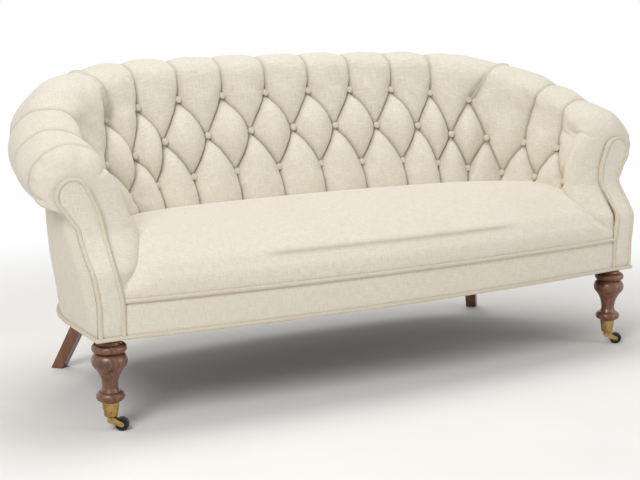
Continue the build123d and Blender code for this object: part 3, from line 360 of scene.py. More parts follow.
FINISHES = {
    Slot.COVER: Linen("ivory_linen_weave"),
    Slot.PIPING: Linen(
        "ivory_linen_on_the_bias", light="#e2dac9", dark="#c0b49e", turn=math.radians(45), slub_mm=12.0
    ),
    Slot.BUTTON: Linen("ivory_linen_button", light="#e1d9c8", dark="#c2b7a1", slub_mm=9.0),
    Slot.LEG: Timber("polished_walnut", "#865636", "#6b432a", "#4d2e1c"),
    Slot.FRAME: Timber("sawn_beech", "#c9a87c", "#b8946a", "#9c7a52", roughness=0.6, coat=0.0),
    Slot.BRASS: Metal("cast_brass", "#c2a063", "#84693f"),
    Slot.WHEEL: Moulded("black_castor_wheel"),
    Slot.STEEL: Metal("drawn_steel_wire", "#9a9a9c", "#5e5e60", roughness=0.36),
    Slot.HESSIAN: Linen("coarse_hessian", "#a58d63", "#7d6844", "#4b3d26", thread_mm=4.0, bump_mm=1.0),
    Slot.DUST: Linen("black_dust_cloth", "#2b2b2c", "#1b1b1c", "#0d0d0d", thread_mm=3.0),
}


def eased(s: Array, stops: Table) -> Array:
    """Smooth value at length |s| from a table.

    Args:
        s: lengths along the outline.
        stops: rows of length and value, in rising order.

    Returns:
        Values that pass through the stops without overshoot, level at both ends.
    """
    xs, ys = (np.array(column) for column in zip(*stops))
    gaps = np.diff(xs)
    rises = np.diff(ys) / gaps
    slopes = np.zeros(len(xs))
    same = rises[:-1] * rises[1:] > 0
    both = np.where(same, rises[:-1] + rises[1:], 1.0)
    slopes[1:-1] = np.where(same, 2 * rises[:-1] * rises[1:] / both, 0.0)
    t = np.clip(np.abs(s), xs[0], xs[-1])
    i = np.clip(np.searchsorted(xs, t, side="right") - 1, 0, len(gaps) - 1)
    k = (t - xs[i]) / gaps[i]
    start = (1 + 2 * k) * (1 - k) ** 2 * ys[i] + k * (1 - k) ** 2 * gaps[i] * slopes[i]
    return start + k * k * (3 - 2 * k) * ys[i + 1] + k * k * (k - 1) * gaps[i] * slopes[i + 1]


def smooth(x: Array, low: float, high: float) -> Array:
    """Ease from 0 at low to 1 at high."""
    k = np.clip((x - low) / (high - low), 0.0, 1.0)
    return k * k * (3 - 2 * k)


def blend(first: Array, second: Array, share: Array) -> Array:
    """Go from the first values to the second by a share from 0 to 1."""
    return first * (1 - share) + second * share


def through(knots: Array, counts: Sequence[int]) -> tuple[Array, Array]:
    """Draw a smooth line through each column of points.

    Args:
        knots: points, as (knot, column, coordinate).
        counts: steps in each span between knots.

    Returns:
        The points, as (row, column, coordinate), and each row's place in knots and parts of a span.
    """
    steps = np.diff(knots, axis=0)
    gaps = np.maximum(np.linalg.norm(steps, axis=2, keepdims=True), 1e-6)
    rates = steps / gaps
    slopes = np.empty_like(knots)
    slopes[0], slopes[-1] = rates[0], rates[-1]
    slopes[1:-1] = (rates[:-1] * gaps[1:] + rates[1:] * gaps[:-1]) / (gaps[:-1] + gaps[1:])
    rows, levels = [], []
    for i, count in enumerate(counts):
        last = i == len(counts) - 1
        for k in np.linspace(0, 1, count + last, endpoint=last):
            a = (1 + 2 * k) * (1 - k) ** 2 * knots[i] + k * (1 - k) ** 2 * gaps[i] * slopes[i]
            b = k * k * (3 - 2 * k) * knots[i + 1] + k * k * (k - 1) * gaps[i] * slopes[i + 1]
            rows.append(a + b)
            levels.append(i + k)
    return np.array(rows), np.array(levels)


def lengths_along(points: Array) -> Array:
    """Length from the first row of points to each row, along each column."""
    steps = np.diff(points, axis=0, prepend=points[:1])
    return np.cumsum(np.linalg.norm(steps, axis=-1), axis=0)


def x_on_edge(z: Array, edge: Table) -> Array:
    """X at height z on an edge given as rows of X and Z."""
    xs, zs = zip(*edge)
    return np.interp(z, zs, xs)


def grid_faces(rows: int, columns: int, wrap_rows: bool = False, wrap_columns: bool = False) -> list[Face]:
    """List the quads of a grid of points stored row by row.

    Args:
        rows: number of rows.
        columns: number of columns.
        wrap_rows: joins the last row to the first.
        wrap_columns: joins the last column to the first.

    Returns:
        Corner numbers of each quad.
    """
    down_from, right_from = np.arange(rows - (not wrap_rows)), np.arange(columns - (not wrap_columns))
    i, j = np.meshgrid(down_from, right_from, indexing="ij")
    down, right = (i + 1) % rows, (j + 1) % columns
    corners = [i * columns + j, i * columns + right, down * columns + right, down * columns + j]
    quads = np.stack(corners, axis=-1)
    return [tuple(q) for q in quads.reshape(-1, 4).tolist()]


def end_caps(rows: int, columns: int) -> list[Face]:
    """List the two faces that close the ends of a grid whose rows wrap round."""
    first = [i * columns for i in range(rows)]
    return [tuple(first), tuple(i + columns - 1 for i in reversed(first))]


def fold_faces(quads: list[Face], folded: Array) -> list[Face]:
    """Cut the quads that a fold crosses along the fold.

    Args:
        quads: corner numbers of each quad.
        folded: whether each point lies on a fold.

    Returns:
        Corner numbers of the quads and triangles.
    """
    faces = []
    for a, b, c, d in quads:
        if folded[a] and folded[c] and not (folded[b] or folded[d]):
            faces += [(a, b, c), (a, c, d)]
        elif folded[b] and folded[d] and not (folded[a] or folded[c]):
            faces += [(a, b, d), (b, c, d)]
        else:
            faces.append((a, b, c, d))
    return faces


def read_corners(mesh: bpy.types.Mesh) -> Array:
    """Read the corners of a mesh.

    Args:
        mesh: the mesh.

    Returns:
        Their places, as (corner, 3).
    """
    flat = np.empty(len(mesh.vertices) * 3, dtype=np.float32)
    mesh.vertices.foreach_get("co", flat)
    return flat.reshape(-1, 3)


def write_corners(mesh: bpy.types.Mesh, at: Array) -> None:
    """Move the corners of a mesh."""
    mesh.vertices.foreach_set("co", at.astype(np.float32).ravel())
    mesh.update()


def make_piece(
    name: str, points: Array, faces: list[Face], uv: Array, fold: Array | None = None
) -> Piece:
    """Make a smooth mesh object.

    Args:
        name: the piece's name.
        points: corners, in metres.
        faces: corner numbers of each face.
        uv: place on the flat cloth of each corner, in metres.
        fold: how much painted shade each corner gets in a pleat or crease, from 0 to 1.

    Returns:
        The new object, linked to the scene.
    """
    mesh = bpy.data.meshes.new(name)
    mesh.from_pydata(points.reshape(-1, 3).tolist(), [], faces)
    loops = np.empty(len(mesh.loops), dtype=np.int32)
    mesh.loops.foreach_get("vertex_index", loops)
    layer = mesh.uv_layers.new(name=UV_NAME)
    layer.data.foreach_set("uv", uv.reshape(-1, 2)[loops].astype(np.float32).ravel())
    if fold is not None:
        depths = mesh.attributes.new(FOLD_SHADE_NAME, "FLOAT", "POINT")
        depths.data.foreach_set("value", fold.astype(np.float32).ravel())
    mesh.polygons.foreach_set("use_smooth", np.ones(len(mesh.polygons), dtype=bool))
    mesh.validate()
    mesh.update()
    made = bpy.data.objects.new(name, mesh)
    bpy.context.scene.collection.objects.link(made)
    return made


def tube(name: str, path: Array, radius: float, closed: bool = False, sides: int = 14) -> Piece:
    """Make a round cord of cloth along a line.

    Args:
        name: the piece's name.
        path: points along its middle.
        radius: half its thickness.
        closed: joins the end to the start.
        sides: corners round the cord.

    Returns:
        The new object.
    """
    count = len(path)
    ahead = np.roll(path, -1, axis=0) - np.roll(path, 1, axis=0)
    if not closed:
        ahead[0], ahead[-1] = path[1] - path[0], path[-1] - path[-2]
    ahead /= np.linalg.norm(ahead, axis=1, keepdims=True)
    first = np.cross(ahead[0], (0.0, 0.0, 1.0))
    if np.linalg.norm(first) < NEAR_UPRIGHT:
        first = np.cross(ahead[0], (0.0, 1.0, 0.0))
    across = np.empty_like(path)
    across[0] = first / np.linalg.norm(first)
    for i in range(1, count):
        flat = across[i - 1] - ahead[i] * np.dot(across[i - 1], ahead[i])
        across[i] = flat / np.linalg.norm(flat)
    third = np.cross(ahead, across)
    turn = np.linspace(0, 2 * math.pi, sides, endpoint=False)
    ring = across[:, None] * np.cos(turn)[None, :, None] + third[:, None] * np.sin(turn)[None, :, None]
    points = path[:, None] + radius * ring
    length = lengths_along(path)
    uv = np.stack(np.broadcast_arrays(length[:, None], (radius * turn)[None]), axis=-1)
    faces = grid_faces(count, sides, wrap_rows=closed, wrap_columns=True)
    if not closed:
        faces += [tuple(range(sides)), tuple(range(count * sides - 1, (count - 1) * sides - 1, -1))]
    return make_piece(name, points, faces, uv)


def dress(piece: Piece, slot: Slot, material: Material, *nodes: str) -> Piece:
    """Give a piece its finish, put it on the settee and let it stand for its CAD nodes.

    Args:
        piece: the new object.
        slot: the record's slot of its finish; not used.
        material: the finish.
        *nodes: names of the CAD nodes that it replaces.

    Returns:
        The same object.
    """
    piece.data.materials.append(material)
    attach(piece, BODY)
    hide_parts(*nodes)
    LOG.info("%s: %d corners, stands for %s", piece.name, len(piece.data.vertices), ", ".join(nodes))
    return piece


@dataclass(frozen=True)
class Stuffing:
    """Cloth simulation in which the stuffing presses a cover out between the points that hold it."""

    most: float  # furthest that a corner is moved
    pressure: float = 4.0
    frames: int = 20
    quality: int = 4
    stiffness: float = 12.0
    bending: float = 0.4

    def press(self, piece: Piece, held: Array) -> None:
        """Run the simulation and keep its result in the mesh.

        Args:
            piece: closed cover.
            held: whether each corner is held.
        """
        scene = bpy.context.scene
        group = piece.vertex_groups.new(name="held")
        group.add(np.flatnonzero(held).tolist(), 1.0, "REPLACE")
        cloth = piece.modifiers.new("stuffing", "CLOTH")
        settings = cloth.settings
        settings.vertex_group_mass = group.name
        settings.quality = self.quality
        settings.use_pressure = True
        settings.uniform_pressure_force = self.pressure
        settings.tension_stiffness = settings.compression_stiffness = self.stiffness
        settings.bending_stiffness = self.bending
        settings.effector_weights.gravity = 0.0
        cloth.collision_settings.use_collision = False
        cloth.point_cache.frame_start = 1
        cloth.point_cache.frame_end = self.frames
        for frame_number in range(1, self.frames + 1):
            scene.frame_set(frame_number)
        before = read_corners(piece.data)
        solved = piece.evaluated_get(bpy.context.evaluated_depsgraph_get())
        move = read_corners(solved.to_mesh()) - before
        solved.to_mesh_clear()
        far = np.maximum(np.linalg.norm(move, axis=1, keepdims=True), 1e-9)
        piece.modifiers.remove(cloth)
        piece.vertex_groups.remove(group)
        scene.frame_set(1)
        write_corners(piece.data, before + move / far * self.most * np.tanh(far / self.most))
        LOG.info("%s pressed out by %.1f mm at most", piece.name, 1000 * float(far.max()))


@dataclass(frozen=True)
class PlanLine:
    """Plan of the base: a bowed back, two round corners and two straight sides, in metres."""

    base_half: float = 0.856
    back_y: float = 0.335
    front_y: float = -0.341
    corner_r: float = 0.450
    bow_r: float = 4.200
    front_half: float = 0.785
    front_bow: float = 0.042
    rail_bottom: float = 0.240
    rail_top: float = 0.333

    @property
    def corner_x(self) -> float:
        """X of the middle of the corner arc."""
        return self.base_half - self.corner_r

    @property
    def bow_y(self) -> float:
        """Y of the middle of the bow."""
        return self.back_y - self.bow_r

    @property
    def corner_y(self) -> float:
        """Y of the middle of the corner arc."""
        return self.bow_y + math.sqrt((self.bow_r - self.corner_r) ** 2 - self.corner_x**2)

    @property
    def bow_turn(self) -> float:
        """Angle of half the bow."""
        return math.atan2(self.corner_x, self.corner_y - self.bow_y)

    @property
    def bow_end(self) -> float:
        """Length from the middle of the back to the end of the bow."""
        return self.bow_r * self.bow_turn

    @property
    def corner_end(self) -> float:
        """Length from the middle of the back to the end of the corner."""
        return self.bow_end + self.corner_r * (math.pi / 2 - self.bow_turn)

    @property
    def side_end(self) -> float:
        """Length from the middle of the back to the front of a side."""
        return self.length_at(self.front_y)

    def length_at(self, y: Array | float) -> Array | float:
        """Length from the middle of the back to the place y on a side."""
        return self.corner_end + self.corner_y - y

    def place(self, s: Array, o: Array) -> tuple[Array, ...]:
        """Find plan points.

        Args:
            s: lengths along the outline from the middle of the back, positive to the right.
            o: offsets outwards.

        Returns:
            X, Y and the two parts of the outward direction.
        """
        s, o = np.broadcast_arrays(np.asarray(s, dtype=float), np.asarray(o, dtype=float))
        t, side = np.abs(s), np.where(s >= 0, 1.0, -1.0)
        bow, straight = t <= self.bow_end, t > self.corner_end
        turn = np.where(bow, t / self.bow_r, self.bow_turn + (t - self.bow_end) / self.corner_r)
        turn = np.where(straight, math.pi / 2, turn)
        radius = np.where(bow, self.bow_r, self.corner_r) + o
        x = np.where(bow, 0.0, self.corner_x) + radius * np.sin(turn)
        y = np.where(bow, self.bow_y, self.corner_y) + radius * np.cos(turn)
        y = np.where(straight, self.corner_y - (t - self.corner_end), y)
        return side * x, y, side * np.sin(turn), np.cos(turn)

    def front(self, x: Array, inwards: float = 0.0) -> Array:
        """Find the bowed front.

        Args:
            x: places across it.
            inwards: how far it is moved inwards.

        Returns:
            Its Y at each place.
        """
        radius = (self.front_half**2 + self.front_bow**2) / (2 * self.front_bow)
        middle = self.front_y - self.front_bow + radius
        return middle - np.sqrt((radius - inwards) ** 2 - np.minimum(np.abs(x), self.front_half) ** 2)


@dataclass(frozen=True)
class BackShape:
    """Heights and offsets of the back and arms along the outline, in metres.

    Each table has rows of a length from the middle of the back and a value there. Rows of arm_belly have a
    height and an offset.
    """

    plan: PlanLine = PlanLine()
    pitch: float = 0.150  # from button to button
    back_top: float = 0.882
    arm_drop: float = 0.188  # from the top of the back to the top of an arm
    falls: Table = (  # share of that drop
        (0, 0), (0.43, 0.02), (0.62, 0.085), (0.76, 0.20), (0.88, 0.40), (1.0, 0.65), (1.13, 0.88),
        (1.3, 1.0),
    )
    drops: Table = ((0, 0.112), (0.43, 0.114), (0.7, 0.128), (0.9, 0.146), (1.15, 0.156))  # roll's height
    reaches: Table = ((0, 0.056), (0.43, 0.060), (0.7, 0.096), (0.9, 0.116), (1.15, 0.110))  # roll's outside
    neck: float = 0.027  # offset under the roll
    row_1: Table = ((0, 0.768), (0.43, 0.758), (0.675, 0.722), (0.9, 0.722))  # top row of buttons
    row_2: Table = ((0, 0.662), (0.43, 0.647), (0.6, 0.614), (0.75, 0.602), (0.9, 0.592), (1.05, 0.585))
    row_3: Table = ((0, 0.552), (0.43, 0.541), (0.525, 0.529), (0.675, 0.510), (0.825, 0.496), (1.125, 0.488))
    rakes: Table = ((0, 0.393), (0.5, 0.393), (0.9, 0.31))  # slope of the plane through the buttons
    feet: Table = ((0, -0.139), (0.5, -0.137), (0.9, -0.105), (1.2, -0.097))  # offset of that plane
    foot_heights: Table = ((0, 0.550), (0.5, 0.545), (0.9, 0.490))  # at these heights
    seat_line: Table = ((0, -0.200), (0.5, -0.198), (0.9, -0.150), (1.1, -0.136))
    arm_feet: Table = ((1.155, -0.130), (1.236, -0.104), (1.318, -0.084))  # beyond the seat line
    pad_bottoms: Table = ((0, 0.385), (1.11, 0.385), (1.225, 0.352))
    arm_belly: Table = (
        (0.387, -0.080), (0.422, -0.121), (0.442, -0.136), (0.474, -0.146), (0.516, -0.147), (0.557, -0.138),
        (0.594, -0.123), (0.622, -0.102), (0.654, -0.078), (0.681, -0.060),
    )
    belly_from: float = 1.133
    belly_to: float = 1.200
    top_row_most: float = 0.6  # highest place of the top row between the middle row and the shoulder
    shoulder: Pair = (-0.040, 0.24)  # offset from the lean, and share of the roll's height below its top
    crest_o: float = -0.010
    side_share: float = 0.54
    under: Pair = (-0.014, 0.84)  # offset from the reach, and share of the roll's height below its top
    drawn_in: tuple[float, ...] = (0.6, 0.7, 0.3)  # shares of a groove at shoulder, side and underside

    def top(self, s: Array) -> Array:
        """Height of the top of the roll."""
        return self.back_top - self.arm_drop * eased(s, self.falls)

    def neck_z(self, s: Array) -> Array:
        """Height where the outside cover meets the underside of the roll."""
        return self.top(s) - eased(s, self.drops)

    def button_o(self, s: Array, z: Array) -> Array:
        """Offset of the raked plane through the buttons."""
        return eased(s, self.feet) + (z - eased(s, self.foot_heights)) * eased(s, self.rakes)

    def belly_share(self, s: Array) -> Array:
        """Share of the plain full front of an arm, beyond the last buttons."""
        return smooth(np.abs(s), self.belly_from, self.belly_to)

    def knots(self, s: Array, groove: float) -> Array:
        """Find the points that a section of the back or arm passes through.

        Args:
            s: lengths along the outline.
            groove: how far the roll is drawn in.

        Returns:
            Offsets and heights from the foot up over the roll to the neck, as (knot, section, 2).
        """
        top, drop, reach = self.top(s), eased(s, self.drops), eased(s, self.reaches)
        shoulder_in, side_in, under_in = (share * groove for share in self.drawn_in)
        lean = self.button_o(s, top)
        shoulder_z = top - self.shoulder[1] * drop
        low, middle = eased(s, self.row_3), eased(s, self.row_2)
        high = np.minimum(eased(s, self.row_1), middle + self.top_row_most * (shoulder_z - middle))
        belly = self.belly_share(s)
        rows = []
        for z in (low, middle, high):
            buttoned = self.button_o(s, z)
            rows.append((buttoned + (eased(z, self.arm_belly) - buttoned) * belly, z))
        points = [
            (eased(s, self.seat_line + self.arm_feet), eased(s, self.pad_bottoms)),
            *rows,
            (lean + self.shoulder[0] + shoulder_in, shoulder_z),
            (0.5 * (lean + reach) + self.crest_o, top - groove),
            (reach - side_in, top - self.side_share * drop),
            (reach + self.under[0] - under_in, top - self.under[1] * drop),
            (np.full_like(s, self.neck), top - drop),
        ]
        return np.array([np.stack(p, axis=-1) for p in points])


@dataclass(frozen=True)
class ArmFront:
    """The swept front of an arm and the outline of its facing with the scroll, in metres.

    The sweep has rows of Z and Y. The two edges of the facing have rows of X and Z.
    """

    plan: PlanLine = PlanLine()
    sweep: Table = (
        (0.330, -0.341), (0.400, -0.336), (0.450, -0.298), (0.500, -0.259), (0.560, -0.247), (0.620, -0.243),
        (0.760, -0.242),
    )
    inner: Table = (
        (0.785, 0.333), (0.792, 0.365), (0.800, 0.400), (0.802, 0.425), (0.800, 0.460), (0.799, 0.497),
        (0.805, 0.540), (0.817, 0.572),
    )
    outer: Table = ((0.856, 0.333), (0.866, 0.400), (0.871, 0.440), (0.872, 0.480), (0.872, 0.511))
    scroll_x: float = 0.874
    scroll_z: float = 0.588
    scroll_r: float = 0.046
    scroll_in: float = 170.0  # angles in degrees where the edges meet the scroll
    scroll_out: float = -52.0
    scroll_top: float = 90.0
    thick: float = 0.008

    def front(self, z: Array) -> Array:
        """Y of the front of the facing at height z."""
        return eased(z, self.sweep)

    def behind(self, z: Array) -> Array:
        """Length along the outline of the back of the facing at height z."""
        return self.plan.length_at(self.front(z) + self.thick)

    def on_scroll(self, angle: Array, inset: float = 0.0) -> tuple[Array, Array]:
        """X and Z on the scroll at an angle in degrees from +X, moved inwards."""
        turn, radius = np.radians(angle), self.scroll_r - inset
        return self.scroll_x + radius * np.cos(turn), self.scroll_z + radius * np.sin(turn)

    def edges(self, bottom: float, inset: float, steps: int = 46, round_steps: int = 30) -> list[Array]:
        """Draw the two edges of the right facing from the bottom to the top of the scroll.

        Args:
            bottom: height of the foot.
            inset: how far the line is moved inwards.
            steps: points up each side.
            round_steps: points round each half of the scroll.

        Returns:
            X and Z of the inner edge and of the outer edge.
        """
        meet = tuple(float(part) for part in self.on_scroll(np.array(self.scroll_in)))
        drawn = []
        for stops, start, inwards, passes in (
            ((*self.inner, meet), self.scroll_in, inset, 3),
            (self.outer, self.scroll_out, -inset, 0),
        ):
            rise = np.linspace(bottom, stops[-1][1], steps, endpoint=False)
            side = x_on_edge(rise, ((stops[0][0], bottom), *stops))
            for _ in range(passes):
                side[1:-1] = 0.25 * side[:-2] + 0.5 * side[1:-1] + 0.25 * side[2:]
            half = np.linspace(start, self.scroll_top, round_steps)
            straight, curl = (side + inwards, rise), self.on_scroll(half, inset)
            drawn.append(np.concatenate([np.stack(straight, axis=-1), np.stack(curl, axis=-1)]))
        return drawn


@dataclass(frozen=True)
class CoverGrid:
    """Where the points of the buttoned cover lie.

    Attributes:
        level: place of each row in the knots of a section, as (row, 1).
        left: whether each column is on the left.
        s: lengths along the outline, as (row, column) like all below.
        u: columns of buttons from the middle of the back, not negative, without the lean of the pleats.
        w: rows of buttons, 0 at the lowest and 2 at the highest.
        on_pleat: whether each point lies on a pleat.
        front_gap: distances behind the facings.
    """

    level: Array
    left: Array
    s: Array
    u: Array
    w: Array
    on_pleat: Array
    front_gap: Array


@dataclass
class ButtonedCover:
    """Deep-buttoned cover of the inside back and both arms, drawn over the roll and round the arm fronts.

    Places across it are in columns of buttons from the middle of the back. Places up it are levels, the knots
    of a section: 1 to 3 are the rows of buttons, 5 is the top of the roll and 8 its end at the neck.
    Sizes are in metres.
    """

    shape: BackShape = field(default_factory=BackShape)
    arm: ArmFront = field(default_factory=ArmFront)
    per_pitch: int = 34  # columns of the mesh from button to button
    counts: tuple[int, ...] = (26, 24, 24, 15, 14, 18, 9, 8)  # rows of the mesh from knot to knot
    groove: float = 0.010
    nose: float = 0.062  # length over which an arm front is rounded
    nose_steps: int = 16
    sweep_start: float = 0.900
    foot_rows: float = 1.5  # rows of buttons from the foot to the lowest row
    snap: float = 0.9  # widest gap that a point is moved to lie on a pleat, in columns of the mesh

    last_low: float = 7.5  # last button of each row
    last_mid: float = 7.0
    last_top: float = 4.5
    row_step: float = 0.72  # from row to row, in columns
    diamonds_to: float = 5.0
    bare_corner: Pair = (4.99, 5.4)  # no pleat above the buttons between these columns
    arm_pleats: Pair = (6.0, 7.0)
    corner_to: float = 6.0  # end of the wide tuft in the corner
    corner_middle: float = 5.5
    no_pleat: float = 99.0
    no_low_tuft: float = -9.0

    corner_lean: Table = ((0, 0.0), (3.4, 0.0), (4.5, 1.0), (6.2, 0.0), (10, 0.0))
    lean_left: float = 0.05
    lean_right: float = 0.8
    lean_from: float = 3.0
    lean_levels: float = 1.9
    lean_power: float = 0.8
    arm_lean: Table = ((0, 0.0), (4.9, 0.0), (6.0, 0.28), (7.2, 0.0), (10, 0.0))
    arm_lean_levels: Pair = (2.0, 5.0)
    lean_to: float = 10.0  # a column beyond the last, and the points at which the lean is taken out
    lean_points: int = 2001

    back_low: float = 0.034  # heights of the tufts at the seat, of the diamonds, and at the seat on the arms
    back_mid: float = 0.039
    arm_low: float = 0.022
    low_ramp: Table = ((0, 0.0), (0.35, 0.72), (0.75, 1.0), (2, 1.0))
    back_tops: Table = (  # heights of the tufts over the roll, by level
        (0, 0.030), (2, 0.030), (3, 0.029), (3.6, 0.019), (4, 0.012), (5, 0.010), (6, 0.009), (7, 0.005),
        (8, 0.0),
    )
    arm_tops: Table = (
        (0, 0.022), (2, 0.022), (3, 0.020), (4, 0.012), (5, 0.010), (6, 0.009), (7, 0.005), (8, 0.0),
    )
    front_tops: Table = (
        (0, 0.022), (1.5, 0.022), (3, 0.016), (4, 0.012), (5, 0.010), (6, 0.009), (7, 0.005), (8, 0.0),
    )
    arm_columns: Pair = (4.6, 5.8)  # from back to arm
    plain_columns: Pair = (7.0, 7.5)  # from the last buttons to the plain arm front
    belly_flat: float = 0.8
    belly_levels: Pair = (1.5, 4.5)
    corner_flat: float = 0.45
    corner_columns: Pair = (3.7, 4.5)
    corner_levels: Pair = (2.9, 3.3)
    tuft_power: float = 0.58

    pleat_rise: float = 0.011  # pleats come up between the buttons
    rise_ramp: Table = ((0, 0.0), (0.5, 1.0), (3, 1.0), (3.7, 0.35), (4.2, 0.0))
    front_ramp: Table = ((0, 0.0), (0.5, 1.0), (1.6, 1.0), (3.2, 0.5), (4.8, 0.0))
    rise_to: float = 0.36
    pull: float = 0.0016  # small folds that fan out from a button
    pull_last: float = 0.0004
    pull_count: int = 7
    pull_wide: float = 0.2
    pull_from: Pair = (0.03, 0.1)
    pull_turns: tuple[float, ...] = (12.9898, 3.1, 43.0)  # turn the folds differently at each button
    lump: float = 0.00045
    lump_count: int = 14
    lump_waves: Pair = (70.0, 9.0)
    lump_phase: float = 6.28
    third_pleat: float = 7.7  # the left roll's last pleat
    third_deep: float = 0.008
    third_sharp: float = 1.4
    third_levels: Table = ((3.6, 4.4), (6.4, 7.6))
    gather_angles: tuple[float, ...] = (140.0, 105.0, 42.0, 2.0, -30.0)  # degrees round each scroll
    gather_wide: float = 5.0
    gather_deep: float = 0.007
    gather_start: Pair = (0.0, 0.014)
    gather_stop: Pair = (0.022, 0.075)

    shut_in: float = 0.004  # the line on a facing's edge where the cover ends
    shut_foot: Table = ((0.791, 0.352), (0.800, 0.488))
    shut_angles: tuple[float, ...] = (176.0, 146.0, 120.0, 90.0, 0.0, -45.0)
    shut_end: Pair = (0.884, 0.531)
    rail_o: Pair = (-0.020, 0.023)  # inside and outside of the top rail under the cover
    rail_up: float = 0.034
    rail_down: float = 0.030
    foot_o: float = -0.050
    hidden_step: float = 0.05

    # Painted shade along the pleats: how wide it is, how much of a tuft's height it spreads over (also its
    # strength on the left roll's third pleat), and its strength by level.
    fold_shade_wide: float = 0.0045
    fold_shade_deep: float = 0.6
    fold_shade_shares: Table = ((0, 1), (3, 1), (4, 0.7), (6, 0.5), (8, 0.2))
    stuffing: Stuffing = Stuffing(most=0.0035, frames=10)
    free_levels: Pair = (0.1, 7.9)
    held_front: float = 0.004
    held_button: float = 0.1

    def pleat_columns(self, u: Array, w: Array) -> Array:
        """Find the nearest pleat at the same height.

        Args:
            u: columns from the middle of the back, not negative.
            w: rows, 0 at the lowest buttons and 2 at the highest.

        Returns:
            The column of the pleat, or a far one where there is none.
        """
        near = np.round(u)
        lean = np.where(u >= near, 1.0, -1.0)
        half = np.minimum(np.floor(u) + 0.5, self.last_low)
        found = np.where(w < 0, half, near + lean * (1 - w) / 2)
        found = np.where((w > 1) & (w <= 2), near + lean * (w - 1) / 2, found)
        found = np.where(w > 2, np.minimum(half, self.last_top), found)
        start, end = self.bare_corner
        found = np.where((w > 1) & (u > end), np.clip(near, *self.arm_pleats), found)
        found = np.where((w > 1) & (u > start) & (u <= end), self.no_pleat, found)
        return np.where((w >= 0) & (w <= 1), np.minimum(found, self.last_low), found)

    def lean(self, upright: Array, level: Array | float, most: Array | float) -> Array:
        """Find how far the pleats that run up into the corners and over the arms lean.

        Args:
            upright: columns in which those pleats are upright, not negative.
            level: place in the knots of a section.
            most: lean of the corner pleat, in columns.

        Returns:
            The lean towards the fronts of the arms, in columns.
        """
        rise = np.clip((level - self.lean_from) / self.lean_levels, 0.0, 1.0) ** self.lean_power
        corner = most * eased(upright, self.corner_lean) * rise
        return corner + eased(upright, self.arm_lean) * smooth(level, *self.arm_lean_levels)

    def unlean(self, across: Array, level: Array, left: Array) -> Array:
        """Take out the lean of the pleats that run up into the corners and over the arms.

        Args:
            across: columns along the outline, not negative.
            level: place of each row in the knots of a section.
            left: whether each column of the mesh is on the left.

        Returns:
            Columns in which those pleats are upright.
        """
        even = np.linspace(0, self.lean_to, self.lean_points)
        upright = np.empty_like(across)
        for side, most in ((left, self.lean_left), (~left, self.lean_right)):
            for i, k in enumerate(level):
                upright[i, side] = np.interp(across[i, side], even + self.lean(even, k, most), even)
        return upright

    def tufts(self, u: Array, w: Array) -> tuple[Array, Array, Array]:
        """Find how far each point stands inside its tuft.

        Args:
            u: columns from the middle of the back, not negative.
            w: rows, 0 at the lowest buttons and 2 at the highest.

        Returns:
            Fullness from 0 at the pleats to 1 in the middle, and two masks: low tufts and diamonds.
        """
        near, half = np.round(u), np.floor(u) + 0.5
        away = 2 * np.abs(u - near)
        lower = np.where(u <= self.last_low, 1 - away, self.no_low_tuft)
        upper = np.where(u < self.diamonds_to, 1 + away, lower)
        low, high = w < lower, w > upper
        diamond = ~low & ~high & (u < self.diamonds_to)
        wide = np.clip(1 - w, 0, 1) / 2
        gaps = [u - near + wide, near + wide - u]
        back, last = u < self.last_top, u > self.last_mid
        corner = (u > self.last_top) & (u < self.corner_to)
        middle = np.where(back, near, np.where(corner, self.corner_middle, half))
        middle = np.where(last, self.last_low, middle)
        above, up = np.clip(w - 1, 0, 1), np.clip(w, 0, 1)
        left = np.where(back, above, np.where(corner, np.clip(w, 0, 2), up)) / 2
        right = np.where(back, above, up) / 2
        tops = [u - middle + left, np.where(last, 1.0, middle + right - u)]
        sides = [u - half + w / 2, half + w / 2 - u, u - half + (2 - w) / 2, half + (2 - w) / 2 - u]
        full_low, full_top, full_mid = (self.swell(g) for g in (gaps, tops, sides))
        full = np.where(low, full_low, np.where(diamond, full_mid, full_top))
        return full, low, diamond

    def swell(self, gaps: list[Array]) -> Array:
        """Find the fullness of a tuft.

        Args:
            gaps: distances to the pleats round it, in columns.

        Returns:
            Fullness, from 0 at a pleat to 1 in the middle.
        """
        full = np.ones_like(gaps[0])
        for gap in gaps:
            k = np.clip(2 * gap, 0.0, 1.0)
            full = full * (k * (2 - k)) ** self.tuft_power
        return full

    def nearest_button(self, u: Array, w: Array) -> tuple[Array, Array, Array]:
        """Find the nearest button.

        Args:
            u: columns from the middle of the back, not negative.
            w: rows, 0 at the lowest buttons and 2 at the highest.

        Returns:
            Distance in pitches, bearing and a number for each button.
        """
        best, bearing, number = np.full(u.shape, self.no_pleat), np.zeros(u.shape), np.zeros(u.shape)
        rows = ((0.5, self.last_low), (0.0, self.last_mid), (0.5, self.last_top))
        for row, (shift, last) in enumerate(rows):
            column = np.clip(np.round(u - shift) + shift, shift, last)
            across, up = u - column, self.row_step * (w - row)
            away = np.hypot(across, up)
            closer = away < best
            best = np.where(closer, away, best)
            bearing = np.where(closer, np.arctan2(up, across), bearing)
            number = np.where(closer, 10 * column + row, number)
        return best, bearing, number

    def shut_line(self) -> Array:
        """Draw the line on the right facing's edge where the cover ends.

        Returns:
            Offset and height of each row.
        """
        xs, zs = self.arm.on_scroll(np.array(self.shut_angles), self.shut_in)
        points = [(x + self.shut_in, z) for x, z in self.shut_foot]
        knots = np.array([*points, *zip(xs, zs), self.shut_end])[:, None, :]
        line = through(knots, self.counts)[0][:, 0]
        return line - np.array([self.shape.plan.base_half, 0.0])

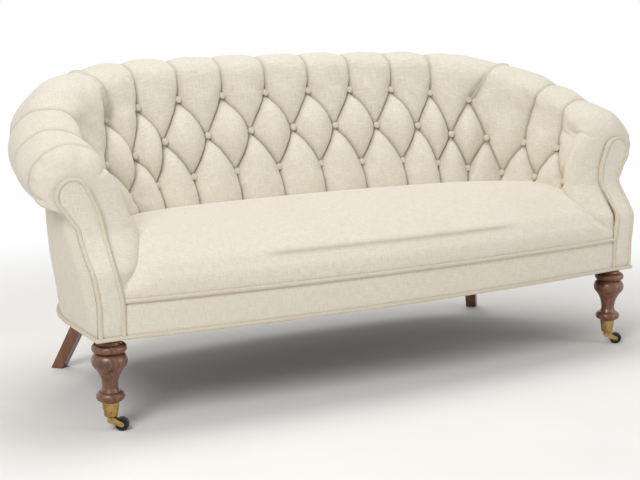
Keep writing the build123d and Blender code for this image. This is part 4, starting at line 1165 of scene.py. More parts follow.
    def columns(self) -> Array:
        """Spread the columns of the mesh: even along the back and arms, closer round the arm fronts.

        Returns:
            Lengths along the outline.
        """
        flat_end = self.shape.plan.side_end - self.arm.thick - self.nose
        count = int(flat_end / self.shape.pitch * self.per_pitch)
        flat = np.linspace(-flat_end, flat_end, 2 * count + 1)
        turn = np.linspace(0, math.pi / 2, self.nose_steps + 1)[1:]
        front = flat_end + self.nose * np.sin(turn)
        return np.concatenate([-front[::-1], flat, front])

    def lay_out(self, shut: Array) -> CoverGrid:
        """Lay the grid of the cover out, with a point on each pleat that a row crosses.

        Args:
            shut: the cover's line on the facing, offset and height of each row.

        Returns:
            The places of the points.
        """
        plan, pitch, start = self.shape.plan, self.shape.pitch, self.sweep_start
        column = self.columns()
        left = column < 0
        level = through(np.zeros((len(self.counts) + 1, 1, 2)), self.counts)[1][:, None]
        end = self.arm.behind(shut[:, 1])
        reach = (end - start) / (plan.side_end - self.arm.thick - start)
        even = np.abs(column)[None] / pitch
        along = (even + self.lean(even, level, np.where(left, self.lean_left, self.lean_right))) * pitch
        beyond = np.maximum(along - start, 0.0)
        s = np.sign(column) * (np.minimum(along, start) + beyond * reach[:, None])
        w = np.where(level < 1, self.foot_rows * (level - 1), np.where(level > 3, 2 + (level - 3), level - 1))
        w = np.broadcast_to(w, s.shape)
        across = np.abs(s) / pitch
        u = self.unlean(across, level[:, 0], left)
        leaning = across - u
        pleat = self.pleat_columns(u, w)
        off = np.abs(u - pleat)
        beside = np.pad(off, ((0, 0), (1, 1)), constant_values=self.no_pleat)
        on_pleat = (off < self.snap / self.per_pitch) & (off <= beside[:, :-2]) & (off < beside[:, 2:])
        u = np.where(on_pleat, pleat, u)
        s = np.sign(s) * (u + leaning) * pitch
        return CoverGrid(level, left, s, u, w, on_pleat, end[:, None] - np.abs(s))

    def heights(self, grid: CoverGrid, low: Array, diamond: Array, plain: Array) -> Array:
        """Find the height of the middle of the tuft that each point is in.

        Args:
            grid: places of the points.
            low: whether each is in a low tuft.
            diamond: whether each is in a diamond.
            plain: share of the plain arm front.

        Returns:
            Heights, in metres.
        """
        level, u = grid.level, grid.u
        arm = smooth(u, *self.arm_columns)
        lows = (self.back_low + (self.arm_low - self.back_low) * arm) * eased(level, self.low_ramp)
        tops = blend(eased(level, self.back_tops), eased(level, self.arm_tops), arm)
        tops = blend(tops, eased(level, self.front_tops), plain)
        height = np.where(low, lows, np.where(diamond, self.back_mid, tops))
        belly = self.shape.belly_share(grid.s) * (1 - smooth(level, *self.belly_levels))
        height = height * (1 - self.belly_flat * belly)
        corner = smooth(u, *self.corner_columns) * smooth(level, *self.corner_levels)
        return height * np.where(u < self.last_top, 1 - self.corner_flat * corner, 1.0)

    def lumps(self, grid: CoverGrid) -> Array:
        """Find the slight unevenness of the stuffing.

        Args:
            grid: places of the points.

        Returns:
            Heights, in metres.
        """
        rng = np.random.default_rng(SEED)
        lumps = np.zeros_like(grid.s)
        for _ in range(self.lump_count):
            wave = rng.uniform(-1, 1, 2) * np.array(self.lump_waves)
            lumps = lumps + np.sin(wave[0] * grid.s + wave[1] * grid.level + rng.uniform(0, self.lump_phase))
        return self.lump * lumps

    def pulls(self, grid: CoverGrid) -> tuple[Array, Array, Array]:
        """Find what the buttons do to the cloth round them.

        Args:
            grid: places of the points.

        Returns:
            Distance from the nearest button in pitches, rise of the pleats away from it, and folds round it.
        """
        away, bearing, number = self.nearest_button(grid.u, grid.w)
        by_number, by_side, most = self.pull_turns
        phase = np.sin(number * by_number + np.sign(grid.s) * by_side) * most
        deep = np.where(grid.u > self.last_mid, self.pull_last, self.pull)
        folds = deep * np.exp(-((away / self.pull_wide) ** 2))
        folds = folds * np.cos(self.pull_count * bearing + phase) * smooth(away, *self.pull_from)
        return away, self.pleat_rise * smooth(away, 0.0, self.rise_to), folds

    def sections(self, grid: CoverGrid) -> tuple[Array, Array]:
        """Draw the sections through the buttons.

        Args:
            grid: places of the points.

        Returns:
            Offsets and heights of the points, and the ways in which tufts stand out, as (row, column, 2).
        """
        rows = []
        for i, row in enumerate(grid.s):
            rows.append(through(self.shape.knots(row, self.groove), self.counts)[0][i])
        base = np.array(rows)
        ahead = np.gradient(base, axis=0)
        ahead /= np.linalg.norm(ahead, axis=2, keepdims=True)
        return base, np.stack([-ahead[..., 1], ahead[..., 0]], axis=-1)

    def build(self) -> Piece:
        """Build the cover as one closed mesh.

        Returns:
            The new object.
        """
        shut = self.shut_line()
        grid = self.lay_out(shut)
        base, out = self.sections(grid)
        level, u, s, pitch = grid.level, grid.u, grid.s, self.shape.pitch
        full, low, diamond = self.tufts(u, grid.w)
        plain = smooth(u, *self.plain_columns)
        ramp = blend(eased(level, self.rise_ramp), eased(level, self.front_ramp), plain)
        tuft = self.heights(grid, low, diamond, plain) * full
        away, rise, folds = self.pulls(grid)
        third_gap = np.abs(u - self.third_pleat)
        third = grid.left * smooth(level, *self.third_levels[0]) * (1 - smooth(level, *self.third_levels[1]))
        swollen = tuft + rise * ramp + folds * ramp + self.lumps(grid) - self.gathers(shut, grid.front_gap)
        swollen = swollen - self.third_deep * third * (1 - self.swell([self.third_sharp * third_gap]))
        at = base + out * swollen[..., None]
        shutting = 1 - np.clip(grid.front_gap / self.nose, 0, 1)
        open_share = np.sqrt(np.clip(1 - shutting**2, 0, 1))[..., None]
        at = shut[:, None] + (at - shut[:, None]) * open_share
        hidden = self.hidden_side(s[-1], s[0])
        s_all = np.concatenate([s, np.broadcast_to(s[-1:], hidden.shape[:2])])
        at_all = np.concatenate([at, hidden])
        x, y, _, _ = self.shape.plan.place(s_all, at_all[..., 0])
        points = np.stack([x, y, at_all[..., 1]], axis=-1)
        lengths = lengths_along(base[:, 0])
        lengths = np.concatenate([lengths, lengths[-1] + self.hidden_step * np.arange(1, len(hidden) + 1)])
        flat = self.flat_columns(points, s_all, grid.front_gap)
        uv = np.stack(np.broadcast_arrays(flat, lengths[:, None]), axis=-1)
        # Painted shade along the pleats and the left roll's third pleat, fainter higher up, kept in the fold
        # attribute for the cloth.
        gap = np.hypot(np.abs(u - self.pleat_columns(u, grid.w)) * pitch, self.fold_shade_deep * tuft)
        fold = np.exp(-gap / self.fold_shade_wide) * np.interp(level, *zip(*self.fold_shade_shares))
        fold = np.maximum(fold, self.fold_shade_deep * third * np.exp(-third_gap * pitch / self.fold_shade_wide))
        fold = np.concatenate([fold, np.zeros(hidden.shape[:2])])
        folded = np.concatenate([grid.on_pleat, np.zeros(hidden.shape[:2], dtype=bool)])
        faces = fold_faces(grid_faces(*s_all.shape, wrap_rows=True), folded.ravel()) + end_caps(*s_all.shape)
        piece = make_piece("buttoned_cover", points, faces, uv, fold)
        held = np.ones(s_all.shape, dtype=bool)
        free = (level > self.free_levels[0]) & (level < self.free_levels[1])
        free = free & (grid.front_gap > self.held_front) & (away > self.held_button)
        held[: len(level)] = grid.on_pleat | ~free
        self.stuffing.press(piece, held.ravel())
        return piece

    def flat_columns(self, points: Array, s: Array, front_gap: Array) -> Array:
        """Measure the cloth along each row, with its true length round the arm fronts.

        Args:
            points: corners of the cover, as (row, column, 3).
            s: lengths along the outline.
            front_gap: distance of each visible point behind the facing.

        Returns:
            Lengths along the cloth.
        """
        flat = s.copy()
        steps = np.linalg.norm(np.diff(points, axis=1), axis=2)
        turning = np.zeros_like(s, dtype=bool)
        turning[: len(front_gap)] = front_gap < self.nose
        last = s.shape[1] - 1
        for j in range(s.shape[1] // 2, last):
            ahead = np.where(turning[:, j + 1], steps[:, j], s[:, j + 1] - s[:, j])
            flat[:, j + 1] = flat[:, j] + ahead
            k = last - j
            behind = np.where(turning[:, k - 1], steps[:, k - 1], s[:, k] - s[:, k - 1])
            flat[:, k - 1] = flat[:, k] - behind
        return flat

    def gathers(self, shut: Array, front_gap: Array) -> Array:
        """Find the depth of the short gathers that fan out round each scroll.

        Args:
            shut: the cover's line on the facing, offset and height of each row.
            front_gap: distance of each point behind the facing.

        Returns:
            Depth of the gathers, in metres.
        """
        x = shut[:, 0] + self.shape.plan.base_half - self.arm.scroll_x
        angle = np.degrees(np.arctan2(shut[:, 1] - self.arm.scroll_z, x))
        depth = np.zeros_like(front_gap)
        for middle in self.gather_angles:
            depth = depth + np.exp(-(((angle[:, None] - middle) / self.gather_wide) ** 2))
        depth = self.gather_deep * depth * smooth(front_gap, *self.gather_start)
        return depth * (1 - smooth(front_gap, *self.gather_stop))

    def hidden_side(self, top_s: Array, bottom_s: Array) -> Array:
        """Draw the hidden side of the stuffing: over the top rail and down the uprights.

        Args:
            top_s: lengths along the outline at the neck.
            bottom_s: lengths along the outline at the foot.

        Returns:
            Offsets and heights, as (row, column, 2).
        """
        rail_in, rail_out = self.rail_o
        neck = self.shape.neck_z(top_s)
        rows = [
            (rail_out, neck),
            (rail_out, neck + self.rail_up),
            (rail_in, neck + self.rail_up),
            (rail_in, neck - self.rail_down),
            (self.foot_o, eased(bottom_s, self.shape.pad_bottoms)),
        ]
        return np.array([np.stack(np.broadcast_arrays(*row), axis=-1) for row in rows])

    def dress(self, material: Material) -> None:
        """Build the cover and put it on the settee.

        Args:
            material: its cloth.
        """
        piece = self.build()
        dress(piece, Slot.COVER, material, "inside_back_pad", "left_arm_pad", "right_arm_pad")


@dataclass
class Buttons:
    """Cloth-covered buttons: a domed face, a gathered rim and a back drawn into the dimple."""

    shape: BackShape = field(default_factory=BackShape)
    radius: float = 0.0105
    height: float = 0.017
    sides: int = 30
    profile: Table = (  # shares of the radius and of the height
        (0.10, 0.25), (0.80, 0.45), (0.97, 0.58), (1.0, 0.68), (0.97, 0.78), (0.86, 0.87), (0.66, 0.94),
        (0.42, 0.98), (0.18, 1.0),
    )
    rim: Pair = (0.5, 0.8)
    rim_wave: float = 0.025
    rim_count: int = 10
    lifts: tuple[Table, ...] = (  # how far each row stands off its dimples, along the outline
        ((0, 0.0002), (0.45, 0.0008)),
        ((0, 0.0009), (0.3, 0.0009), (0.45, 0.0031), (0.6, 0.0062), (0.75, 0.0055), (0.9, 0.0003)),
        ((0, 0.0002), (1, 0.0002)),
    )
    back_columns: tuple[float, ...] = (4.5, 4.0, 4.5)  # last button of each row on the back
    arm_columns: tuple[tuple[float, ...], ...] = ((), (5, 6, 7), (5.5, 6.5, 7.5))

    def spots(self, row: int, columns: Sequence[float]) -> list[tuple[Array, Array]]:
        """Find where the buttons of a row sit.

        Args:
            row: 0 at the top, 2 at the bottom.
            columns: the buttons' columns from the middle of the back.

        Returns:
            The foot of each button and the direction it faces.
        """
        found = []
        table = (self.shape.row_1, self.shape.row_2, self.shape.row_3)[row]
        for column in columns:
            s = np.array(column * self.shape.pitch)
            z = eased(s, table)
            x, y, nx, ny = self.shape.plan.place(s, self.shape.button_o(s, z))
            facing = np.array([-float(nx), -float(ny), float(eased(s, self.shape.rakes))])
            facing /= np.linalg.norm(facing)
            foot = np.array([float(x), float(y), float(z)])
            found.append((foot + facing * float(eased(s, self.lifts[row])), facing))
        return found

    def build(self, name: str, spots: list[tuple[Array, Array]]) -> Piece:
        """Build a set of buttons as one mesh.

        Args:
            name: the piece's name.
            spots: feet and directions of the buttons.

        Returns:
            The new object.
        """
        turn = np.linspace(0, 2 * math.pi, self.sides, endpoint=False)
        gather = 1 + self.rim_wave * np.cos(self.rim_count * turn)
        rings = len(self.profile)
        quads = grid_faces(rings, self.sides, wrap_columns=True)
        back = tuple(reversed(range(self.sides)))
        face = tuple(range((rings - 1) * self.sides, rings * self.sides))
        points, faces, uv = [], [], []
        for foot, facing in spots:
            across = np.cross(facing, (0.0, 0.0, 1.0))
            across /= np.linalg.norm(across)
            up = np.cross(facing, across)
            faces += [tuple(len(points) + i for i in corners) for corners in (*quads, back, face)]
            for r, h in self.profile:
                pleat = np.where(self.rim[0] < h < self.rim[1], gather, 1.0)
                for angle, wave in zip(turn, pleat):
                    a, b = self.radius * r * wave * np.array([math.cos(angle), math.sin(angle)])
                    points.append(foot + a * across + b * up + h * self.height * facing)
                    uv.append((a, b))
        return make_piece(name, np.array(points), faces, np.array(uv))

    def dress(self, material: Material) -> None:
        """Build the three sets of buttons and put them on the settee.

        Args:
            material: their cloth.
        """
        sets = {"back_buttons": [np.arange(-last, last + 0.1) for last in self.back_columns]}
        for side in Side:
            sets[side.node("arm_buttons")] = [[side.value * u for u in row] for row in self.arm_columns]
        for node, rows in sets.items():
            spots = [spot for row, columns in enumerate(rows) for spot in self.spots(row, columns)]
            piece = dress(self.build("covered_" + node, spots), Slot.BUTTON, material, node)


@dataclass
class Seat:
    """Sprung seat in one piece, crowned, rolled over the front edge and tucked in at the back and arms."""

    shape: BackShape = field(default_factory=BackShape)
    arm: ArmFront = field(default_factory=ArmFront)
    foot: float = 0.335
    lip: float = 0.343  # where the front starts to round
    edge: float = 0.474  # height at the back
    crown: float = 0.483
    nose_up: float = 0.090
    nose_in: float = 0.060
    nose_share: float = 0.36  # most of the depth that the nose takes
    nose_power: float = 1.15
    swell_share: float = 0.2
    end_gap: float = 0.002
    end_round: float = 0.090
    end_least: float = 0.22
    end_close: float = 1.25  # how much closer the columns lie at the ends
    flare_in: float = 0.065
    back_gap: float = 0.009
    turn_from: float = 1.100  # lengths along the outline where the back edge turns out
    turn_to: float = 1.200
    back_points: int = 400
    columns: int = 260
    lip_rows: int = 5
    nose_rows: int = 15
    top_rows: int = 90
    stuffing: Stuffing = Stuffing(most=0.006)
    held_front: int = 9
    held_back: int = 4
    held_columns: int = 2
    crease_in: float = 0.0335
    crease_ends: Pair = (-0.420, 0.440)
    crease_fade: float = 0.09
    crease_wide: float = 0.005
    crease_above: float = 0.03
    crease_back: float = 0.002
    crease_down: float = 0.003
    crease_shade: float = 0.7

    def back_line(self, x: Array) -> Array:
        """Find the back edge of the seat, which turns out under the fronts of the arms.

        Args:
            x: places across the seat.

        Returns:
            Its Y at each place.
        """
        plan = self.shape.plan
        s = np.linspace(0, self.turn_to, self.back_points)
        o = eased(s, self.shape.seat_line) - self.back_gap
        o = o + (plan.front_half - plan.base_half - o) * smooth(s, self.turn_from, self.turn_to)
        px, py, _, _ = plan.place(s, o)
        return np.interp(np.abs(x), np.maximum.accumulate(px), py)

    def sections(self, x: Array) -> Array:
        """Draw the sections from front to back, and the underside.

        Args:
            x: places across the seat.

        Returns:
            Points, as (row, column, 3).
        """
        near, far = self.shape.plan.front(x), self.back_line(x)
        depth = far - near
        end = (self.shape.plan.front_half - np.abs(x)) / self.end_round
        end = np.clip(end, self.end_least, 1.0) ** 0.5
        brow = near + np.minimum(self.nose_in, self.nose_share * depth)
        brow_z = self.lip + self.nose_up * end
        back_z = self.lip + (self.edge - self.lip) * end
        crown = (self.crown - 0.5 * (self.edge + self.lip + self.nose_up)) * end
        swell = np.minimum(crown, self.swell_share * depth)
        rows = []
        for k in np.linspace(0, 1, self.lip_rows):
            rows.append((near, self.foot + k * (self.lip - self.foot)))
        for k in np.linspace(0, 1, self.nose_rows)[1:]:
            turn = k * math.pi / 2
            y = brow - (brow - near) * math.cos(turn) ** self.nose_power
            rows.append((y, self.lip + (brow_z - self.lip) * math.sin(turn)))
        for k in np.linspace(0, 1, self.top_rows)[1:]:
            bulge = 4 * k * (1 - k) * swell
            rows.append((brow + (far - brow) * k, brow_z + (back_z - brow_z) * k + bulge))
        for k in (0.5, 1.0):
            rows.append((far, back_z + (self.foot - back_z) * k))
        rows.append((0.5 * (near + far), self.foot))
        return np.array([np.stack(np.broadcast_arrays(x, *row), axis=-1) for row in rows])

    def build(self) -> Piece:
        """Build the seat as one closed mesh.

        Returns:
            The new object.
        """
        half = self.shape.plan.front_half - self.end_gap
        t = np.linspace(-1, 1, self.columns)
        x = half * np.sign(t) * (1 - (1 - np.abs(t)) ** self.end_close)
        points = self.sections(x)
        flare = x_on_edge(points[..., 2], self.arm.inner) - self.shape.plan.front_half
        points[..., 0] += np.sign(x) * flare * smooth(np.abs(x), half - self.flare_in, half)
        uv = np.stack(np.broadcast_arrays(x, lengths_along(points)), axis=-1)
        size = points.shape[:2]
        faces = grid_faces(*size, wrap_rows=True) + end_caps(*size)
        piece = make_piece("seat_cover", points, faces, uv, np.zeros(size))
        held = np.zeros(size, dtype=bool)
        held[: self.held_front] = held[-self.held_back :] = True
        held[:, : self.held_columns] = held[:, -self.held_columns :] = True
        self.stuffing.press(piece, held.ravel())
        return piece

    def crease(self, piece: Piece) -> None:
        """Press the soft crease behind the front edge into the seat, with painted shade along it.

        Args:
            piece: the seat.
        """
        mesh = piece.data
        at = read_corners(mesh)
        left, right = self.crease_ends
        away = at[:, 1] - self.shape.plan.front(at[:, 0]) - self.crease_in
        inside = smooth(at[:, 0], left, left + self.crease_fade)
        inside = inside * (1 - smooth(at[:, 0], right - self.crease_fade, right))
        press = np.exp(-((away / self.crease_wide) ** 2)) * inside * (at[:, 2] > self.lip + self.crease_above)
        at[:, 1] += self.crease_back * press
        at[:, 2] -= self.crease_down * press
        write_corners(mesh, at)
        shade = (self.crease_shade * press).astype(np.float32)
        mesh.attributes[FOLD_SHADE_NAME].data.foreach_set("value", shade)
        mesh.update()

    def dress(self, material: Material) -> None:
        """Build the seat and put it on the settee.

        Args:
            material: its cloth.
        """
        piece = self.build()
        self.crease(piece)
        dress(piece, Slot.COVER, material, "seat_pad")


@dataclass
class FrontBorder:
    """Padded border along the bowed front rail, with the piping above it."""

    plan: PlanLine = field(default_factory=PlanLine)
    thick: float = 0.008
    bulge: float = 0.004
    columns: int = 180
    rows: int = 22
    piping_r: float = 0.0055
    piping_z: float = 0.336
    piping_out: float = 0.004
    piping_past: float = 0.003  # how far it runs in behind each facing's piping
    piping_steps: int = 220

    def build(self) -> Piece:
        """Build the border as one closed mesh.

        Returns:
            The new object.
        """
        x = np.linspace(-self.plan.front_half, self.plan.front_half, self.columns)
        low, high = self.plan.rail_bottom, self.plan.rail_top
        rows = [(-self.bulge * (1 - (2 * k - 1) ** 4), k) for k in np.linspace(0, 1, self.rows)]
        rows += [(self.thick, 1), (self.thick, 0)]
        points = []
        for inwards, k in rows:
            z = np.full_like(x, low + (high - low) * k)
            points.append(np.stack([x, self.plan.front(x, inwards), z], axis=-1))
        points = np.array(points)
        size = points.shape[:2]
        faces = grid_faces(*size, wrap_rows=True) + end_caps(*size)
        return make_piece("front_border_panel", points, faces, points[..., [0, 2]])

    def dress(self, cloth: Material, piping: Material) -> None:
        """Build the border and its piping and put them on the settee.

        Args:
            cloth: the border's cloth.
            piping: the piping's cloth.
        """
        panel = dress(self.build(), Slot.COVER, cloth, "front_border")
        half = self.plan.front_half + self.piping_past
        x = np.linspace(-half, half, self.piping_steps)
        path = np.stack([x, self.plan.front(x, -self.piping_out), np.full_like(x, self.piping_z)], axis=-1)
        dress(tube("seat_edge_piping", path, self.piping_r), Slot.PIPING, piping, "seat_piping")


@dataclass
class Facing:
    """Padded facing on the front of one arm, with piping all round it."""

    side: Side
    arm: ArmFront = field(default_factory=ArmFront)
    bottom: float = 0.240
    inset: float = 0.002
    bulge: float = 0.006
    bulge_rows: int = 6  # rows at the foot over which the padding starts
    across: int = 15
    piping_r: float = 0.0055
    piping_in: float = 0.005
    piping_out: float = 0.003
    piping_foot: float = 0.251

    def build(self) -> Piece:
        """Build the facing as one closed mesh.

        Returns:
            The new object.
        """
        near, far = self.arm.edges(self.bottom, self.inset)
        k = np.linspace(0, 1, self.across)
        flat = near[:, None] + (far - near)[:, None] * k[None, :, None]
        start = smooth(np.arange(len(near)), 0, self.bulge_rows)[:, None]
        puff = self.bulge * (1 - (2 * k - 1) ** 4)[None] * start
        y = self.arm.front(flat[..., 1])
        sign = self.side.value
        front = np.stack([sign * flat[..., 0], y - puff, flat[..., 1]], axis=-1)
        back = np.stack([sign * flat[..., 0], y + self.arm.thick, flat[..., 1]], axis=-1)
        points = np.concatenate([front, back[:, ::-1]], axis=1)[:-1]
        rows, columns = points.shape[:2]
        faces = grid_faces(rows, columns, wrap_columns=True)
        faces.append(tuple(range(columns)))
        faces.append(tuple(range(rows * columns - 1, (rows - 1) * columns - 1, -1)))
        if sign < 0:
            faces = [face[::-1] for face in faces]
        return make_piece(self.side.node("facing_panel"), points, faces, points[..., [0, 2]])

    def cord(self) -> Piece:
        """Build the piping up the inside, round the scroll and down the outside.

        Returns:
            The new object.
        """
        near, far = self.arm.edges(self.piping_foot, self.piping_in)
        line = np.concatenate([near, far[::-1][1:]])
        y = self.arm.front(line[:, 1]) - self.piping_out
        path = np.stack([self.side.value * line[:, 0], y, line[:, 1]], axis=-1)
        return tube(self.side.node("facing_cord"), path, self.piping_r)

    def dress(self, cloth: Material, piping: Material) -> None:
        """Build the facing and its piping and put them on the settee.

        Args:
            cloth: the facing's cloth.
            piping: the piping's cloth.
        """
        panel = dress(self.build(), Slot.COVER, cloth, self.side.node("arm_facing"))
        dress(self.cord(), Slot.PIPING, piping, self.side.node("facing_piping"))


@dataclass
class OutsideCovers:
    """Cloth stretched over the outside of the back and arms, the piping round the base and the dust cover."""

    shape: BackShape = field(default_factory=BackShape)
    arm: ArmFront = field(default_factory=ArmFront)
    seam: float = 0.750  # length along the outline of the seams between back and arms
    rows: int = 60
    back_columns: int = 240
    arm_columns: int = 110
    tuck: float = 0.006  # how far the cloth runs up under the roll
    straight: float = 0.04
    flare: float = 0.008
    flare_low: float = 0.35
    flare_rise: float = 0.9
    seam_deep: float = 0.0025
    seam_wide: float = 0.006
    cloth_t: float = 0.003
    behind_facing: float = 0.001
    turn_in: float = 0.055  # distance behind the facing at which the cloth turns to its edge
    turn_levels: Pair = (0.500, 0.530)
    over_post: Table = ((0.505, 0.012), (0.511, 0.0125), (0.550, 0.0405), (0.560, 0.0475))  # Z and offset
    post_in: Pair = (0.052, 0.100)
    post_levels: Pair = (0.505, 0.525)
    turnings: float = 1.03  # length of the flat cloth, for the turnings
    piping_r: float = 0.0055
    piping_z: float = 0.246
    piping_out: float = 0.004
    side_points: int = 420  # points of the base's plan, from the first side round to the last
    corner_points: int = 7
    step_points: int = 8
    front_points: int = 200
    dust_in: float = 0.020
    dust_gap: float = 0.001
    dust_rings: int = 14
    dust_middle: float = 0.06  # size of the innermost ring
    dust_flat: Pair = (0.70, 1.70)
    sag: float = 0.010

    def stretch(self, s: Array) -> Array:
        """Stretch the cloth from the base to the neck between two seams.

        Args:
            s: lengths along the outline, from seam to seam.

        Returns:
            Offset and height, as (row, column, 2).
        """
        low = self.shape.plan.rail_bottom
        neck = self.shape.neck_z(s) + self.tuck
        seams = (np.exp(-np.abs(s - edge) / self.seam_wide) for edge in (s[0], s[-1]))
        seam_in = self.seam_deep * sum(seams)
        rows = []
        for k in np.linspace(0, 1, self.rows):
            z = low + (neck - low) * k
            lean = smooth(z, low, low + self.flare_rise * float(np.min(neck - low)))
            o = self.shape.neck * np.minimum((z - low) / (neck - self.straight - low), 1.0)
            o = o + self.flare * np.sin(math.pi * k) * np.minimum(1.0, self.flare_low + lean)
            rows.append(np.stack([o - seam_in, z], axis=-1))
        return np.array(rows)

    def build(self, name: str, start: float, end: float, columns: int) -> tuple[Piece, Pair]:
        """Build one cover between two seams.

        Args:
            name: the piece's name.
            start: length along the outline of its first edge.
            end: length along the outline of its second edge.
            columns: corners along it.

        Returns:
            The cover, and the height and length of its flat cloth.
        """
        plan = self.shape.plan
        s = np.linspace(start, end, columns)
        outer = self.stretch(s)
        height = outer[..., 1]
        furthest = plan.length_at(self.arm.front(height) + self.arm.thick - self.behind_facing)
        along = np.clip(np.broadcast_to(s[None], height.shape), -furthest, furthest)
        behind = furthest - np.abs(along)
        edge = x_on_edge(height, self.arm.outer) - plan.base_half - self.behind_facing
        turned = (1 - smooth(behind, 0.0, self.turn_in)) * (1 - smooth(height, *self.turn_levels))
        outer[..., 0] += (edge - outer[..., 0]) * turned
        over = np.maximum(np.interp(height, *zip(*self.over_post)) - outer[..., 0], 0.0)
        outer[..., 0] += over * (1 - smooth(behind, *self.post_in)) * smooth(height, *self.post_levels)
        layers = []
        for inwards in (0.0, self.cloth_t):
            x, y, _, _ = plan.place(along, outer[..., 0] - inwards)
            layers.append(np.stack([x, y, height], axis=-1))
        flat = np.stack([along, height], axis=-1)
        rows = 2 * self.rows
        faces = grid_faces(rows, columns, wrap_rows=True)
        for edge, order in ((0, 1), (columns - 1, -1)):
            for i in range(self.rows - 1):
                corners = tuple(row * columns + edge for row in (i, i + 1, rows - 2 - i, rows - 1 - i))
                faces.append(corners[::order])
        points, uv = np.concatenate([layers[0], layers[1][::-1]]), np.concatenate([flat, flat[::-1]])
        return make_piece(name, points, faces, uv), (float(np.max(height)) - plan.rail_bottom, end - start)

    def base_line(self, out: float) -> Array:
        """Draw the plan of the base with its bowed front.

        Args:
            out: how far it is moved outwards.

        Returns:
            X and Y, as (point, 2).
        """
        plan = self.shape.plan
        s = np.linspace(-plan.side_end, plan.side_end, self.side_points)
        x, y, _, _ = plan.place(s, np.full_like(s, out))
        turn = np.linspace(0, math.pi / 2, self.corner_points)[1:]
        corner_x = plan.base_half + out * np.cos(turn)
        corner_y = plan.front_y - out * np.sin(turn)
        step = np.linspace(plan.base_half, plan.front_half, self.step_points)[1:-1]
        front_x = np.linspace(plan.front_half, -plan.front_half, self.front_points)
        xs = [x, corner_x, step, front_x, -step[::-1], -corner_x[::-1]]
        level = np.full_like(step, plan.front_y - out)
        ys = [y, corner_y, level, plan.front(front_x, -out), level, corner_y[::-1]]
        return np.stack([np.concatenate(xs), np.concatenate(ys)], axis=-1)

    def dust_sheet(self) -> Piece:
        """Build the cloth under the seat, sagging a little in the middle.

        Returns:
            The new object.
        """
        edge = self.base_line(-self.dust_in)
        rows = []
        for k in np.linspace(1, self.dust_middle, self.dust_rings):
            z = self.shape.plan.rail_bottom - self.dust_gap - self.sag * (1 - k**3)
            rows.append(np.column_stack([edge * k, np.full(len(edge), z)]))
        points = np.array(rows)
        faces = grid_faces(*points.shape[:2], wrap_columns=True)
        faces.append(tuple((self.dust_rings - 1) * len(edge) + i for i in range(len(edge))))
        return make_piece("dust_sheet", points, faces, points[..., :2])

    def dress(self, cloth: Material, piping: Material, dust: Material) -> None:
        """Build the covers, the base piping and the dust cover and put them on the settee.

        Args:
            cloth: the covers' cloth.
            piping: the piping's cloth.
            dust: the dust cover's cloth.
        """
        end, seam = self.shape.plan.side_end, self.seam
        spans = {
            "left_outside_cover": (-end, -seam, self.arm_columns, ["left_arm_rail", "left_side_rail"]),
            "outside_back_cover": (-seam, seam, self.back_columns, ["back_top_rail", "back_seat_rail"]),
            "right_outside_cover": (seam, end, self.arm_columns, ["right_arm_rail", "right_side_rail"]),
        }
        for node, (a, b, columns, carriers) in spans.items():
            piece, (tall, length) = self.build(node.replace("cover", "cloth"), a, b, columns)
            dress(piece, Slot.COVER, cloth, node)
        line = self.base_line(self.piping_out)
        path = np.column_stack([line, np.full(len(line), self.piping_z)])
        dress(tube("base_edge_piping", path, self.piping_r, closed=True), Slot.PIPING, piping, "base_piping")
        sheet = dress(self.dust_sheet(), Slot.DUST, dust, "dust_cover")
        carriers = ["front_seat_rail", "back_seat_rail"]


class FrameFinish:
    """Finishes for the CAD nodes that show as they are: legs, castors and the hidden frame."""

    def dress(self, looks: dict[Slot, Material]) -> None:
        """Give each CAD node the finish of its slot.

        Args:
            looks: the material of each slot.
        """
        for part in frame["record"]["subparts"]:
            node = frame["nodes"][part["node"]]
            node.data.materials.clear()
            node.data.materials.append(looks[Slot(part["material_slot"])])


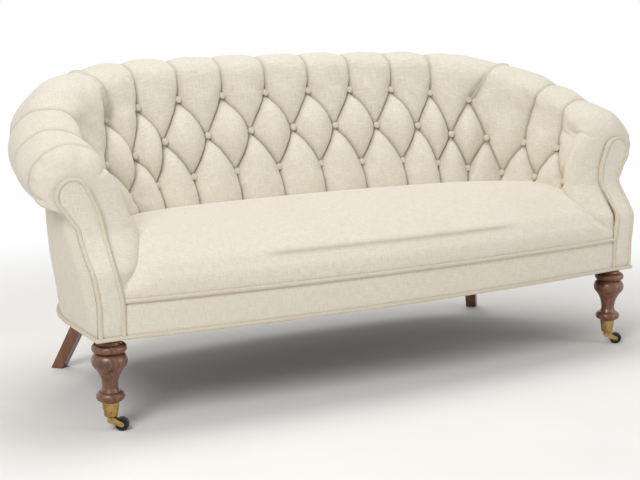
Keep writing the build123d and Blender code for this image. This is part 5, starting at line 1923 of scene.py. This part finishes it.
@dataclass
class Studio:
    """Pale floor, white surroundings, soft lamps and the camera at the drawing's angle."""

    camera_at: tuple[float, float, float] = (-1.9422, -3.2957, 1.1013)
    camera_to: tuple[float, float, float] = (-0.0288, 0.0176, 0.3544)
    lens_mm: float = 74.45
    sensor_mm: float = 36.0
    sight: float = 200.0  # how far the camera sees
    floor_half: float = 60.0
    fade: Pair = (1.0, 2.3)  # distances from the middle where the floor starts and ends to fade
    floor_colours: tuple[str, str] = ("#eeece8", "#f4f3f0")
    mottle_mm: float = 400.0
    lamps: tuple[tuple[str, tuple[float, float, float], float, float], ...] = (  # name, place, size and power
        ("key", (-3.4, -2.6, 3.4), 2.2, 120.0),
        ("fill", (3.2, -3.6, 1.9), 2.6, 38.0),
        ("top", (0.3, 0.6, 3.6), 2.4, 52.0),
    )
    lamps_to: tuple[float, float, float] = (0.0, 0.0, 0.45)
    world_strength: float = 0.42

    def white_rays(self, tree: Tree) -> Socket:
        """Tell rays that show the background: camera, glossy and transmission rays.

        Args:
            tree: the node tree that asks.

        Returns:
            A socket that gives 1 for such a ray and 0 for others.
        """
        rays = add_node(tree, "LightPath").node.outputs
        shows = rays["Is Camera Ray"]
        for kind in ("Is Glossy Ray", "Is Transmission Ray"):
            shows = add_node(tree, "Math", {0: shows, 1: rays[kind]}, operation="MAXIMUM")
        return shows

    def floor(self) -> None:
        """Lay the floor, plain near the settee and fading to white."""
        h = self.floor_half
        points = np.array([(-h, -h, 0.0), (h, -h, 0.0), (h, h, 0.0), (-h, h, 0.0)])
        piece = make_piece("floor", points, [(0, 1, 2, 3)], points[:, :2])
        made, tree = blank_material("pale_floor")
        where = add_node(tree, "TexCoord", out="Object")
        away = add_node(tree, "VectorMath", {0: where}, "Value", operation="LENGTH")
        fade = {"Value": away, "From Min": self.fade[0], "From Max": self.fade[1]}
        far = add_node(tree, "MapRange", fade, interpolation_type="SMOOTHSTEP")
        share = add_node(tree, "Math", {0: far, 1: self.white_rays(tree)}, operation="MULTIPLY")
        mottle = {"Scale": 1000 / self.mottle_mm, "Detail": 2.0, "Vector": where}
        ends = {"A": linear(self.floor_colours[0]), "B": linear(self.floor_colours[1])}
        tones = {"Factor": add_node(tree, "TexNoise", mottle, "Fac"), **ends}
        tone = add_node(tree, "Mix", tones, "Result", data_type="RGBA")
        matt = add_node(tree, "BsdfDiffuse", {"Color": tone})
        white = add_node(tree, "Emission", {"Color": WHITE, "Strength": 1.0})
        both = add_node(tree, "MixShader", {0: share, 1: matt, 2: white})
        add_node(tree, "OutputMaterial", {"Surface": both})
        piece.data.materials.append(made)

    def surround(self) -> None:
        """Set the world: white to look at, a plain soft light on the settee."""
        world = bpy.data.worlds.new("white_surround")
        world.use_nodes = True
        tree = world.node_tree
        tree.nodes.clear()
        shade = {"Value": self.white_rays(tree), "To Min": self.world_strength, "To Max": 1.0}
        strength = add_node(tree, "MapRange", shade)
        light = add_node(tree, "Background", {"Color": WHITE, "Strength": strength})
        add_node(tree, "OutputWorld", {"Surface": light})
        bpy.context.scene.world = world

    @staticmethod
    def aim(name: str, data: bpy.types.ID, at: tuple[float, ...], to: tuple[float, ...]) -> Piece:
        """Put a lamp or camera at a place and turn it towards another.

        Args:
            name: the object's name.
            data: the lamp or camera.
            at: where it stands.
            to: where it points.

        Returns:
            The new object.
        """
        made = bpy.data.objects.new(name, data)
        made.location = at
        made.rotation_euler = (Vector(to) - Vector(at)).to_track_quat("-Z", "Y").to_euler()
        bpy.context.scene.collection.objects.link(made)
        return made

    def build(self) -> None:
        """Set up floor, surroundings, lamps and camera."""
        self.floor()
        self.surround()
        for name, at, size, power in self.lamps:
            lamp = bpy.data.lights.new(name, "AREA")
            lamp.shape = "DISK"
            lamp.size = size
            lamp.energy = power
            self.aim(name, lamp, at, self.lamps_to)
        lens = bpy.data.cameras.new("camera")
        lens.lens = self.lens_mm
        lens.sensor_width = self.sensor_mm
        lens.clip_end = self.sight
        scene = bpy.context.scene
        scene.camera = self.aim("camera", lens, self.camera_at, self.camera_to)
        scene.view_settings.view_transform = "Standard"


def main() -> None:
    """Build the settee's visible pieces in order."""
    logging.basicConfig(level=logging.INFO, format="%(name)s: %(message)s")
    Studio().build()
    looks = {slot: finish.material() for slot, finish in FINISHES.items()}
    cloth, piping = looks[Slot.COVER], looks[Slot.PIPING]
    FrameFinish().dress(looks)
    ButtonedCover().dress(cloth)
    Buttons().dress(looks[Slot.BUTTON])
    Seat().dress(cloth)
    FrontBorder().dress(cloth, piping)
    for side in Side:
        Facing(side).dress(cloth, piping)
    OutsideCovers().dress(cloth, piping, looks[Slot.DUST])


if __name__ == "__main__":
    main()
